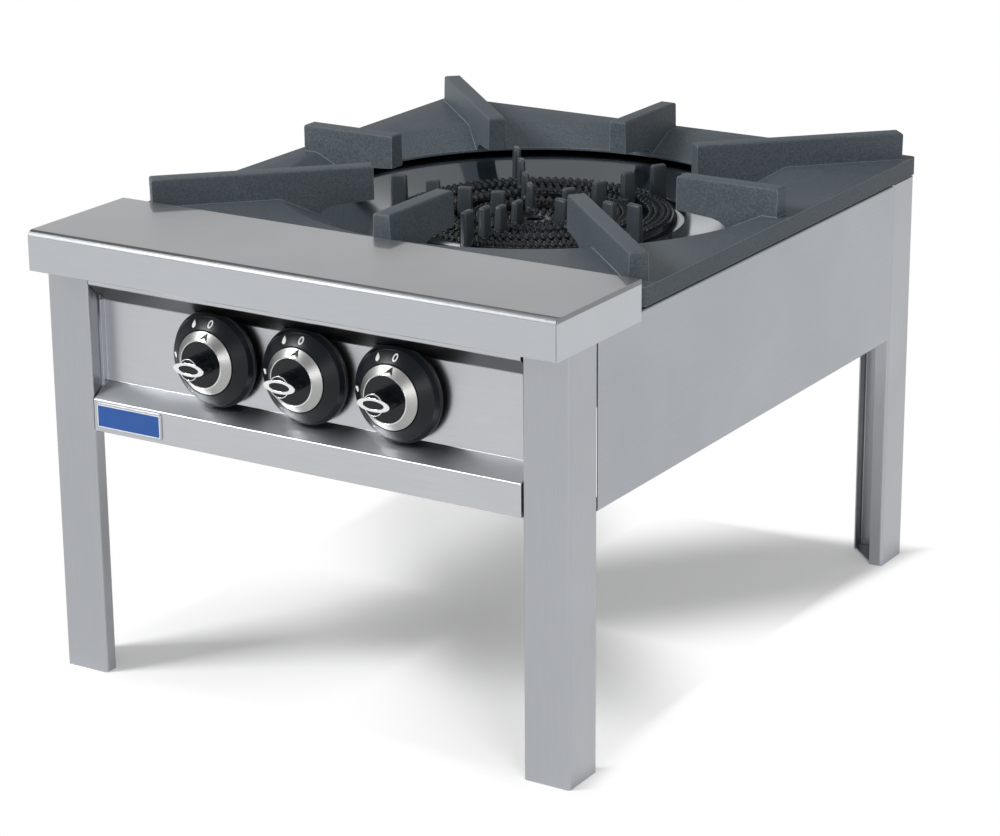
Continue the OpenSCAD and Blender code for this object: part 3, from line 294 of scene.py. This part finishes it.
brushing = makeBrushing(brushLook)
casting = makeCasting(grainLook)
edges = makeEdges(edgeSamples)


# materials
def useGroup(tree, group, values):
    step = tree.nodes.new("ShaderNodeGroup")
    step.node_tree = group
    for label, value in values.items():
        step.inputs[label].default_value = value
    return step.outputs


def newMaterial(name):
    material = bpy.data.materials.new(name)
    material.use_nodes = True
    tree = material.node_tree
    return material, tree, tree.nodes["Principled BSDF"]


def mixColour(tree, factor, first, second):
    mix = tree.nodes.new("ShaderNodeMix")
    mix.data_type = "RGBA"
    tree.links.new(factor, mix.inputs["Factor"])
    for label, value in (("A", first), ("B", second)):
        socket = [s for s in mix.inputs if s.name == label and s.type == "RGBA"][0]
        if isinstance(value, tuple):
            socket.default_value = value + (1,)
        else:
            tree.links.new(value, socket)
    return [s for s in mix.outputs if s.type == "RGBA"][0]


def mapValue(tree, value, low, high, fromLow=0.3, fromHigh=0.7):
    span = tree.nodes.new("ShaderNodeMapRange")
    span.inputs["From Min"].default_value = fromLow
    span.inputs["From Max"].default_value = fromHigh
    span.inputs["To Min"].default_value = low
    span.inputs["To Max"].default_value = high
    tree.links.new(value, span.inputs["Value"])
    return span.outputs[0]


def scaled(tint, share):
    return tuple(min(1.0, c * share) for c in tint)


def paintedBandMask(tree, look):
    # 1 between two heights, behind a plane across y; it marks where painted shade or painted light goes on a
    # surface
    parts = splitPlace(tree, "Object")
    above = addMath(tree, "GREATER_THAN", parts["Z"], look["low"])
    below = addMath(tree, "LESS_THAN", parts["Z"], look["high"])
    behind = addMath(tree, "GREATER_THAN", parts["Y"], look["front"])
    return addMath(tree, "MULTIPLY", addMath(tree, "MULTIPLY", above, below), behind)


def varyTint(tree, look, grain, cloud):
    # paler and darker with the grain, darker in the clouds
    pale, dark = 1 + look["grain"], 1 - look["grain"]
    fleck = mapValue(tree, grain, 0, 1)
    tint = mixColour(tree, fleck, scaled(look["tint"], dark), scaled(look["tint"], pale))
    veil = mapValue(tree, cloud, 0, look["smudge"])
    return mixColour(tree, veil, tint, scaled(look["tint"], look["cloudShare"]))


def varyRough(tree, shader, look, value):
    low, high = (look["rough"] * share for share in look["roughSpan"])
    tree.links.new(mapValue(tree, value, low, high), shader.inputs["Roughness"])


def paintEdgeHighlights(tree, shader, look, tint, height):
    # painted highlight: the tint is made lighter on the rounded edges, and the bump goes over those edges
    edge = useGroup(tree, edges, {"Radius": look["edge"], "Gain": look["edgeGain"]})
    tint = mixColour(tree, edge["Edge"], tint, scaled(look["tint"], look["paintedEdgeHighlight"]))
    tree.links.new(tint, shader.inputs["Base Color"])
    shader.inputs["Metallic"].default_value = look["metal"]
    bump = tree.nodes.new("ShaderNodeBump")
    bump.inputs["Strength"].default_value = look["bump"]
    bump.inputs["Distance"].default_value = look["bumpDepth"]
    tree.links.new(height, bump.inputs["Height"])
    tree.links.new(edge["Normal"], bump.inputs["Normal"])
    tree.links.new(bump.outputs[0], shader.inputs["Normal"])


def steelMaterial(name, look):
    material, tree, shader = newMaterial(name)
    stretch = tuple(brushLook["coarse" if axis == look["along"] else "fine"] for axis in "xyz")
    marks = useGroup(tree, brushing, {"Stretch": stretch, "Smudge Scale": look["smudgeScale"]})
    tint = varyTint(tree, look, marks["Line"], marks["Smudge"])
    # painted shade and painted light: on each listed band the tint is scaled darker or lighter
    for paintedBand in look["paintedBands"]:
        tint = mixColour(tree, paintedBandMask(tree, paintedBand), tint, scaled(look["tint"], paintedBand["share"]))
    if look["polishAbove"]:
        # the flat top has been polished over its brushing, the folds and sides have not
        facing = tree.nodes.new("ShaderNodeNewGeometry")
        upright = tree.nodes.new("ShaderNodeSeparateXYZ")
        tree.links.new(facing.outputs["Normal"], upright.inputs[0])
        flat = addMath(tree, "GREATER_THAN", upright.outputs["Z"], look["polishAbove"])
        tree.links.new(flat, shader.inputs["Coat Weight"])
        shader.inputs["Coat Roughness"].default_value = look["coatRough"]
    varyRough(tree, shader, look, marks["Smudge"])
    paintEdgeHighlights(tree, shader, look, tint, marks["Line"])
    return material


def castMaterial(name, look):
    material, tree, shader = newMaterial(name)
    sand = useGroup(tree, casting, {"Grain Scale": look["grainScale"], "Swell Scale": look["swellScale"]})
    shader.inputs["Specular IOR Level"].default_value = look["gloss"]
    shader.inputs["Coat Weight"].default_value = look["coat"]
    shader.inputs["Coat Roughness"].default_value = look["coatRough"]
    varyRough(tree, shader, look, sand["Grain"])
    paintEdgeHighlights(tree, shader, look, varyTint(tree, look, sand["Grain"], sand["Swell"]), sand["Height"])
    return material


def paintMaterial(name, look):
    material, tree, shader = newMaterial(name)
    sand = useGroup(tree, casting, {"Grain Scale": look["grainScale"], "Swell Scale": look["swellScale"]})
    dark, pale = (scaled(look["tint"], share) for share in look["tintSpan"])
    cloud = mapValue(tree, sand["Swell"], 0, 1)
    tree.links.new(mixColour(tree, cloud, dark, pale), shader.inputs["Base Color"])
    varyRough(tree, shader, look, sand["Grain"])
    return material


steelBase = {
    "rough": 0.3, "roughSpan": (0.88, 1.14), "metal": 1.0, "along": "x", "grain": 0.03, "smudge": 0.12,
    "smudgeScale": 6.0, "cloudShare": 0.72, "edge": 0.5 * mm, "edgeGain": 5.0, "paintedEdgeHighlight": 1.5,
    "bump": 0.12, "bumpDepth": 0.05 * mm, "polishAbove": None, "coatRough": 0.03, "paintedBands": [],
}
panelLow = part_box("control_panel")[0]
behindRail = panelLow.y + 1.2 * mm
# painted shade on the upper slant under the fascia, and painted light on the lower slant above the rail
paintedSlantShading = [
    {"low": 391.2 * mm, "high": 410.0 * mm, "front": behindRail, "share": 0.26},
    {"low": 294.0 * mm, "high": 307.0 * mm, "front": behindRail, "share": 1.2},
]
ledgeLow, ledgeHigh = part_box("ledge")
# painted shade on the ledge's rounded front fold, which dims the highlight along it
paintedFoldShade = {"low": ledgeHigh.z - 5 * mm, "high": ledgeHigh.z - 0.04 * mm, "front": ledgeLow.y - 1 * mm,
             "share": 0.42}
steelLooks = {
    "ledge": {"tint": (0.5, 0.52, 0.545), "rough": 0.34, "smudge": 0.08, "paintedEdgeHighlight": 1.0,
              "polishAbove": 0.995, "paintedBands": [paintedFoldShade]},
    "legs": {"tint": (0.42, 0.435, 0.46), "along": "z", "rough": 0.34},
    "panel": {"tint": (0.53, 0.545, 0.57), "rough": 0.3, "paintedBands": paintedSlantShading},
    "side": {"tint": (0.39, 0.41, 0.435), "along": "y", "rough": 0.32},
    "inner_steel": {"tint": (0.42, 0.43, 0.44), "rough": 0.42, "smudge": 0.3},
    "screws": {"tint": (0.5, 0.5, 0.48), "rough": 0.35},
    "tray": {"tint": (0.38, 0.415, 0.45), "rough": 0.1, "smudge": 0.15},
    "pipe_steel": {"tint": (0.45, 0.46, 0.47), "rough": 0.38},
    "brass": {"tint": (0.62, 0.44, 0.16), "rough": 0.28},
    "copper": {"tint": (0.66, 0.32, 0.18), "rough": 0.3},
    "knob_ring": {"tint": (0.4, 0.4, 0.39), "rough": 0.4, "grain": 0.1},
    "chrome": {"tint": (0.82, 0.83, 0.84), "rough": 0.08, "grain": 0.0, "bump": 0.0},
}
castBase = {
    "rough": 0.5, "roughSpan": (0.9, 1.12), "metal": 0.0, "grain": 0.16, "grainScale": 800.0, "smudge": 0.25,
    "swellScale": 12.0, "cloudShare": 0.7, "edge": 1.0 * mm, "edgeGain": 4.0, "paintedEdgeHighlight": 1.6,
    "bump": 0.35, "bumpDepth": 0.25 * mm, "gloss": 0.5, "coat": 0.0, "coatRough": 0.3,
}
castLooks = {
    "grate": {"tint": (0.09, 0.108, 0.123), "rough": 0.5, "gloss": 0.14, "edge": 1.8 * mm, "paintedEdgeHighlight": 3.0,
              "grain": 0.36, "grainScale": 470.0, "bump": 0.8},
    "burner": {"tint": (0.0035, 0.007, 0.01), "rough": 0.17, "gloss": 0.26, "grain": 0.05, "bump": 0.0},
    "fin": {"tint": (0.04, 0.051, 0.06), "rough": 0.34, "gloss": 0.45, "edge": 2.2 * mm, "paintedEdgeHighlight": 3.4,
            "bump": 0.4},
    "tube_iron": {"tint": (0.05, 0.053, 0.057), "rough": 0.6},
    "dial": {"tint": (0.007, 0.0095, 0.0125), "rough": 0.3, "gloss": 0.24, "grain": 0.06, "bump": 0.05,
             "edge": 0.5 * mm},
    "knob": {"tint": (0.006, 0.0078, 0.0095), "rough": 0.2, "gloss": 0.26, "grain": 0.05, "bump": 0.03,
             "edge": 0.4 * mm, "coat": 0.12, "coatRough": 0.06},
}
paintBase = {"tintSpan": (0.94, 1.06), "roughSpan": (0.9, 1.1), "grainScale": 1500.0, "swellScale": 60.0}
paintLooks = {
    "markWhite": {"tint": (0.82, 0.82, 0.82), "rough": 0.5},
    "markBlack": {"tint": (0.012, 0.012, 0.013), "rough": 0.4},
    "badgeBlue": {"tint": (0.002, 0.07, 0.3), "rough": 0.35},
    "badgeWhite": {"tint": (0.8, 0.81, 0.82), "rough": 0.35},
}
materials = {}
for slotName, steelLook in steelLooks.items():
    materials[slotName] = steelMaterial(slotName + "Steel", {**steelBase, **steelLook})
for slotName, castLook in castLooks.items():
    materials[slotName] = castMaterial(slotName + "Cast", {**castBase, **castLook})
paints = {name: paintMaterial(name, {**paintBase, **look}) for name, look in paintLooks.items()}

for row in frame["record"]["subparts"]:
    piece = nodes[row["node"]]
    for index in range(len(piece.material_slots)):
        piece.material_slots[index].material = materials[row["material_slot"]]
print("materials made:", len(materials) + len(paints))


# making pieces
def finishPiece(name, bm, used, body, smoothAngle=35, turnNormals=True):
    if turnNormals:
        bmesh.ops.recalc_face_normals(bm, faces=bm.faces)
    mesh = bpy.data.meshes.new(name)
    bm.to_mesh(mesh)
    bm.free()
    mesh.shade_smooth()
    mesh.set_sharp_from_angle(angle=math.radians(smoothAngle))
    piece = bpy.data.objects.new(name, mesh)
    scene.collection.objects.link(piece)
    for material in used:
        mesh.materials.append(material)
    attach(piece, body)
    return piece


def turnProfile(bm, points, axis, steps, closed=True):
    # points turned once about an axis through the origin
    verts = [bm.verts.new(point) for point in points]
    ends = verts[1:] + verts[:1] if closed else verts[1:]
    path = [bm.edges.new(pair) for pair in zip(verts, ends)]
    bmesh.ops.spin(bm, geom=verts + path, cent=(0, 0, 0), axis=axis, angle=math.tau, steps=steps,
                   use_merge=True, use_duplicate=False)


# cast pan support
grateLook = {"weld": 0.004 * mm, "flat": 0.5, "round": 2.0 * mm, "segments": 3, "angle": 32}


def castGrate(look):
    bm = bmesh.new()
    bm.from_mesh(nodes["pan_support"].data)
    bmesh.ops.remove_doubles(bm, verts=bm.verts, dist=look["weld"])
    bmesh.ops.dissolve_limit(bm, angle_limit=math.radians(look["flat"]), verts=bm.verts, edges=bm.edges)
    piece = finishPiece("castPanSupport", bm, [materials["grate"]], "grate", turnNormals=False)
    bevel = piece.modifiers.new("roundEdges", "BEVEL")
    bevel.width = look["round"]
    bevel.segments = look["segments"]
    bevel.limit_method = "ANGLE"
    bevel.angle_limit = math.radians(look["angle"])
    bevel.harden_normals = True
    bevel.use_clamp_overlap = True
    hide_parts("pan_support")


castGrate(grateLook)
print("pan support cast")


# burner rings
grateLow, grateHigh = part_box("pan_support")
burnerX = (grateLow.x + grateHigh.x) / 2
burnerY = (grateLow.y + grateHigh.y) / 2
burnerAt = Vector((burnerX, burnerY, 0))
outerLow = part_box("outer_burner_ring")[0]
burner = {
    "base": outerLow.z,
    "crown": outerLow.z + 40 * mm,
    "turnSteps": 96,
    "sharpAngle": 40,
    "beadWidth": 6.2 * mm,
    "beadHigh": 3.4 * mm,
    "beadSink": 1.4 * mm,
    "beadSides": 8,
    "beadRows": 6,
    "pitch": 8.3 * mm,
    "finAngle": 21.1,
    "finCount": 5,
    "finThick": 8.8 * mm,
    "finTopShare": 0.8,
    "finSlope": 1.0 * mm,
    "finRound": 2.4 * mm,
    "finSteps": 4,
    "finRoot": 6 * mm,
}
rings = {
    "outerBurnerCasting": {
        "node": "outer_burner_ring", "inner": 118 * mm, "outer": 149 * mm, "drop": 0, "rise": 0,
        "rows": [140.2, 134.4, 126.8, 121.0], "finFrom": 136, "finTo": 154.8, "finTop": 33.6,
    },
    "middleBurnerCasting": {
        "node": "middle_burner_ring", "inner": 84 * mm, "outer": 110 * mm, "drop": 1 * mm, "rise": 6 * mm,
        "rows": [106.0, 100.8, 93.0, 87.4], "finFrom": 100.6, "finTo": 117.3, "finTop": 30.5,
    },
    "innerBurnerCasting": {
        "node": "inner_burner_ring", "inner": 46 * mm, "outer": 70 * mm, "drop": 3 * mm, "rise": 6 * mm,
        "rows": [65.8, 60.2, 55.0, 49.4], "finFrom": 66.5, "finTo": 83.2, "finTop": 26.0,
    },
}
hub = {"radius": 36 * mm, "eye": 9 * mm, "drop": 7 * mm, "rows": [31.8, 26.2, 20.4], "finFrom": 31,
       "finTo": 47.8, "finTop": 26.8}
spider = {"high": 6 * mm, "wide": 14 * mm, "past": 4 * mm, "turns": (45, 135), "lugLong": 61 * mm,
          "lugWide": 16 * mm, "lugOut": 157.5 * mm, "lugBack": 70 * mm, "round": 1.2 * mm, "segments": 2}
# each corner: a wall, millimetres outwards from it, a level, millimetres above it
ringProfile = [
    ("near", 1.5, "low", 0), ("far", -1.5, "low", 0), ("far", 0, "low", 3), ("far", 0, "top", -8),
    ("far", -1.2, "top", -4.5), ("far", -4, "top", -1.4), ("middle", 5, "top", -1.6),
    ("middle", 1.5, "top", 0.4), ("middle", -1.5, "top", 0.4), ("middle", -5, "top", -1.6),
    ("near", 1, "top", -1.2), ("near", 0, "top", -3), ("near", 0, "low", 3),
]
hubProfile = [
    ("eye", 0, "low", 0), ("near", 2, "low", 0), ("near", 2, "low", 16), ("edge", 0, "low", 16),
    ("edge", 0, "top", -3), ("edge", -2, "top", -1), ("eye", 2, "top", -1), ("eye", 0, "top", -3),
]


def turnCorners(bm, profile, marks):
    points = [(marks[wall] + out * mm, 0, marks[level] + up * mm) for wall, out, level, up in profile]
    turnProfile(bm, points, (0, 0, 1), burner["turnSteps"])


def addBeads(bm, rows, top):
    # one bead a row, copied round the axis
    for index, radiusMm in enumerate(rows):
        radius = radiusMm * mm
        count = round(math.tau * radius / burner["pitch"])
        pitch = math.tau / count
        size = burner["beadWidth"] / 2
        place = Matrix.Rotation((index % 2) / 2 * pitch, 4, "Z") @ Matrix.Translation((radius, 0, top))
        shape = Matrix.Diagonal((size, size, burner["beadHigh"], 1))
        bead = bmesh.ops.create_uvsphere(bm, u_segments=burner["beadSides"], v_segments=burner["beadRows"],
                                         radius=1, matrix=place @ shape)["verts"]
        geom = list({g for v in bead for g in [v, *v.link_edges, *v.link_faces]})
        bmesh.ops.spin(bm, geom=geom, cent=(0, 0, 0), axis=(0, 0, 1), angle=math.tau - pitch,
                       steps=count - 1, use_merge=False, use_duplicate=True)


def addFin(bm, turn, near, far, low, high):
    # a tooth that narrows towards its round top
    verts = bmesh.ops.create_cube(bm, size=1)["verts"]
    for vert in verts:
        isTop = vert.co.z > 0
        isFar = vert.co.x > 0
        half = burner["finThick"] / 2 * (burner["finTopShare"] if isTop else 1.0)
        radius = far if isFar else near
        if isTop:
            radius += -burner["finSlope"] if isFar else burner["finSlope"]
        vert.co = Vector((radius, math.copysign(half, vert.co.y), high if isTop else low))
    around = {e for v in verts for e in v.link_edges}
    rounded = [e for e in around if any(v.co.z > low for v in e.verts)]
    made = bmesh.ops.bevel(bm, geom=rounded, offset=burner["finRound"], offset_type="OFFSET",
                           segments=burner["finSteps"], profile=0.5, affect="EDGES", material=-1,
                           clamp_overlap=True)
    shaped = {v for f in made["faces"] for v in f.verts} | {v for v in verts if v.is_valid}
    linked = {v for s in shaped for f in s.link_faces for v in f.verts}
    for face in {f for v in linked for f in v.link_faces}:
        face.material_index = 1
    bmesh.ops.rotate(bm, verts=list(shaped | linked), cent=(0, 0, 0), matrix=Matrix.Rotation(turn, 3, "Z"))


def addFins(bm, look, top):
    for k in range(burner["finCount"]):
        turn = math.radians(burner["finAngle"] + 180 + 360 * k / burner["finCount"])
        addFin(bm, turn, look["finFrom"] * mm, look["finTo"] * mm, top - burner["finRoot"],
               top + look["finTop"] * mm)


def addBlock(bm, size, place, turn=0.0):
    verts = bmesh.ops.create_cube(bm, size=1)["verts"]
    bmesh.ops.scale(bm, verts=verts, vec=size)
    bmesh.ops.translate(bm, verts=verts, vec=place)
    bmesh.ops.rotate(bm, verts=verts, cent=(0, 0, 0), matrix=Matrix.Rotation(turn, 3, "Z"))
    around = list({e for v in verts for e in v.link_edges})
    bmesh.ops.bevel(bm, geom=around, offset=spider["round"], segments=spider["segments"], profile=0.5,
                    affect="EDGES", material=-1)


def addSpider(bm, near, low):
    # a cross inside the ring, and the lugs that it rests on
    level = low + spider["high"] / 2
    for turn in spider["turns"]:
        size = (2 * near + spider["past"], spider["wide"], spider["high"])
        addBlock(bm, size, (0, 0, level), math.radians(turn))
    for side in (-1, 1):
        for back in (-spider["lugBack"], spider["lugBack"]):
            size = (spider["lugLong"], spider["lugWide"], spider["high"])
            addBlock(bm, size, (side * spider["lugOut"], back, level))


def castRing(name, look):
    bm = bmesh.new()
    near, far = look["inner"], look["outer"]
    low = burner["base"] + look["rise"]
    top = burner["crown"] - look["drop"]
    marks = {"near": near, "far": far, "middle": (near + far) / 2, "low": low, "top": top}
    turnCorners(bm, ringProfile, marks)
    addBeads(bm, look["rows"], top - burner["beadSink"])
    addFins(bm, look, top)
    if name == "outerBurnerCasting":
        addSpider(bm, near, low)
    if name == "innerBurnerCasting":
        hubTop = burner["crown"] - hub["drop"]
        marks = {"eye": hub["eye"], "edge": hub["radius"], "near": near, "low": low, "top": hubTop}
        turnCorners(bm, hubProfile, marks)
        addBeads(bm, hub["rows"], hubTop - burner["beadSink"])
        addFins(bm, hub, hubTop)
    bmesh.ops.translate(bm, verts=bm.verts, vec=burnerAt)
    piece = finishPiece(name, bm, [materials["burner"], materials["fin"]], "frame",
                        smoothAngle=burner["sharpAngle"])
    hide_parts(look["node"])


for ringName, ringLook in rings.items():
    castRing(ringName, ringLook)
print("burner rings cast")


# knobs and dials
knobJoints = {side: [j for j in frame["joints"] if j["name"] == "knob_turn_" + side][0] for side in sides}
# sizes in millimetres, depths from the knob joint's place towards the front
dialLook = {
    "coneNear": 32.8, "coneNearDepth": 24.2, "coneFar": 43.3, "coneFarDepth": 15.9, "lift": 0.12,
    "markRadius": 38.5, "thick": 0.06, "zeroAngle": 83, "zeroSize": (2.6, 3.5), "zeroWall": 1.3,
    "zeroSteps": 24, "flames": [(113, 2.4), (178, 2.6)], "dots": [(238, 1.5)], "dotSteps": 12,
}
flameLook = {"steps": 18, "narrowing": 0.7, "width": 1.05, "blunt": 0.02, "lean": 0.25, "belly": 1.25,
             "tip": 0.5}
pointerLook = {"angle": 83, "near": 25.0, "far": 31.6, "half": 4.6, "notch": 2.0, "lean": 1.4, "lift": 0.6,
               "coneNear": 23.9, "coneNearDepth": 31.5, "coneFar": 31.6, "coneFarDepth": 24.7, "thick": 0.06}
rimLook = {"radius": 23.6, "wide": 0.9, "depth": 31.5, "lift": 0.28, "sink": 0.6, "steps": 64,
           "nearCorner": (0.15, 0.12), "farCorner": (0.25, 0.2)}


def coneDepth(look, radius):
    share = (radius - look["coneNear"]) / (look["coneFar"] - look["coneNear"])
    return look["coneNearDepth"] + share * (look["coneFarDepth"] - look["coneNearDepth"])


def layOnCone(verts, look, centre, angle, radius):
    # flat points (across, outwards) in millimetres, laid on a cone about the knob's axis
    for vert in verts:
        r = radius + vert.co.y
        turn = math.radians(angle) - vert.co.x / r
        depth = coneDepth(look, r) + look["lift"]
        vert.co = centre + Vector((r * math.cos(turn), -depth, r * math.sin(turn))) * mm


def addFlame(bm, size, look):
    made = bmesh.ops.create_circle(bm, cap_ends=True, segments=look["steps"], radius=size)
    for vert in made["verts"]:
        up = min(1.0, vert.co.y / size)
        tip = max(0.0, up)
        width = (1 - tip) ** look["narrowing"] * look["width"] + look["blunt"]
        vert.co.x = vert.co.x * width + look["lean"] * size * tip ** 2
        vert.co.y = size * (up * look["belly"] + tip * look["tip"])
    return made["verts"]


def markDial(side, look):
    centre = Vector(knobJoints[side]["pos_m"])
    bm = bmesh.new()
    width, height = look["zeroSize"]
    rims = []
    zero = []
    for shrink in (0, look["zeroWall"]):
        made = bmesh.ops.create_circle(bm, cap_ends=False, segments=look["zeroSteps"], radius=1)
        bmesh.ops.scale(bm, verts=made["verts"], vec=(width - shrink, height - shrink, 1))
        zero += made["verts"]
        rims += list({e for v in made["verts"] for e in v.link_edges})
    bmesh.ops.bridge_loops(bm, edges=rims)
    layOnCone(zero, look, centre, look["zeroAngle"], look["markRadius"])
    for angle, size in look["flames"]:
        layOnCone(addFlame(bm, size, flameLook), look, centre, angle, look["markRadius"])
    for angle, size in look["dots"]:
        made = bmesh.ops.create_circle(bm, cap_ends=True, segments=look["dotSteps"], radius=size)
        layOnCone(made["verts"], look, centre, angle, look["markRadius"])
    bmesh.ops.solidify(bm, geom=bm.faces, thickness=look["thick"] * mm)
    finishPiece("dialMarks." + side, bm, [paints["markWhite"]], "frame")


def markKnob(side, look):
    centre = Vector(knobJoints[side]["pos_m"])
    bm = bmesh.new()
    reach = (look["far"] - look["near"]) / 2
    half, notch, lean = look["half"], look["notch"], look["lean"]
    corners = ((lean, reach), (-half, -reach), (lean / 2, notch - reach), (half, -reach))
    arrow = [bm.verts.new((x, y, 0)) for x, y in corners]
    bm.faces.new(arrow)
    layOnCone(arrow, look, centre, look["angle"], (look["far"] + look["near"]) / 2)
    bmesh.ops.solidify(bm, geom=bm.faces, thickness=look["thick"] * mm)
    finishPiece("knobPointer." + side, bm, [paints["markBlack"]], "knob_" + side)


def rimKnob(side, look):
    # polished lip round the knob's black centre
    low, high = look["depth"] - look["sink"], look["depth"] + look["lift"]
    near, far = look["radius"] - look["wide"] / 2, look["radius"] + look["wide"] / 2
    nearIn, nearDown = look["nearCorner"]
    farIn, farDown = look["farCorner"]
    corners = [(near, low), (near, high - nearDown), (near + nearIn, high), (far - farIn, high),
               (far, high - farDown), (far, low)]
    bm = bmesh.new()
    points = [(radius * mm, -depth * mm, 0) for radius, depth in corners]
    turnProfile(bm, points, (0, 1, 0), look["steps"])
    bmesh.ops.translate(bm, verts=bm.verts, vec=Vector(knobJoints[side]["pos_m"]))
    finishPiece("knobRim." + side, bm, [materials["chrome"]], "knob_" + side)


for side in sides:
    markDial(side, dialLook)
    markKnob(side, pointerLook)
    rimKnob(side, rimLook)
print("dials and knobs marked")


# blank plate on the rail
badge = {"left": -244.5 * mm, "right": -163.3 * mm, "low": 263.8 * mm, "high": 291 * mm, "thick": 1.4 * mm,
         "corner": 3.4 * mm, "cornerSteps": 6, "edge": 0.35 * mm, "edgeSteps": 2, "rim": 1.7 * mm,
         "line": 0.8 * mm}


def fixBadge(look):
    bm = bmesh.new()
    bmesh.ops.create_grid(bm, x_segments=1, y_segments=1, size=0.5)
    width, height = look["right"] - look["left"], look["high"] - look["low"]
    bmesh.ops.scale(bm, verts=bm.verts, vec=(width, height, 1))
    bmesh.ops.bevel(bm, geom=bm.verts[:], offset=look["corner"], segments=look["cornerSteps"], profile=0.5,
                    affect="VERTICES", material=-1)
    bmesh.ops.extrude_face_region(bm, geom=bm.faces[:])
    front = [f for f in bm.faces if len(f.verts) > 4][-1]
    bmesh.ops.translate(bm, verts=front.verts, vec=(0, 0, look["thick"]))
    bmesh.ops.bevel(bm, geom=front.edges[:], offset=look["edge"], segments=look["edgeSteps"], profile=0.5,
                    affect="EDGES", material=-1)
    # steel rim, pale line and coloured field
    field = max(bm.faces, key=lambda f: (f.calc_center_median().z, f.calc_area()))
    for step, index in ((look["rim"], 0), (look["line"], 1)):
        ring = bmesh.ops.inset_individual(bm, faces=[field], thickness=step)
        for face in ring["faces"]:
            face.material_index = index
    field.material_index = 2
    middleX, middleZ = (look["left"] + look["right"]) / 2, (look["low"] + look["high"]) / 2
    stand = Matrix(((1, 0, 0, middleX), (0, 0, -1, panelLow.y), (0, 1, 0, middleZ), (0, 0, 0, 1)))
    bmesh.ops.transform(bm, matrix=stand, verts=bm.verts)
    used = [materials["ledge"], paints["badgeWhite"], paints["badgeBlue"]]
    finishPiece("railPlate", bm, used, "frame")


fixBadge(badge)
print("blank plate fixed")


# thread of the gas inlet
thread = {"turns": 9, "pitch": 1.8 * mm, "depth": 0.5 * mm, "radius": 10.48 * mm, "lift": 0.02 * mm,
          "start": 1.0 * mm, "rootShare": 0.42, "crestShare": 0.12, "steps": 32, "sharpAngle": 20}


def cutThread(look):
    low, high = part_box("inlet_connector")
    root, crest = look["pitch"] * look["rootShare"], look["pitch"] * look["crestShare"]
    near = look["radius"] - look["depth"] + look["lift"]
    far = look["radius"] + look["lift"]
    bm = bmesh.new()
    for k in range(look["turns"]):
        y = high.y - look["start"] - look["pitch"] * (k + 0.5)
        points = [(near, y - root, 0), (far, y - crest, 0), (far, y + crest, 0), (near, y + root, 0)]
        turnProfile(bm, points, (0, 1, 0), look["steps"], closed=False)
    bmesh.ops.translate(bm, verts=bm.verts, vec=((low.x + high.x) / 2, 0, (low.z + high.z) / 2))
    finishPiece("inletThread", bm, [materials["brass"]], "frame", smoothAngle=look["sharpAngle"])


cutThread(thread)
print("thread cut")
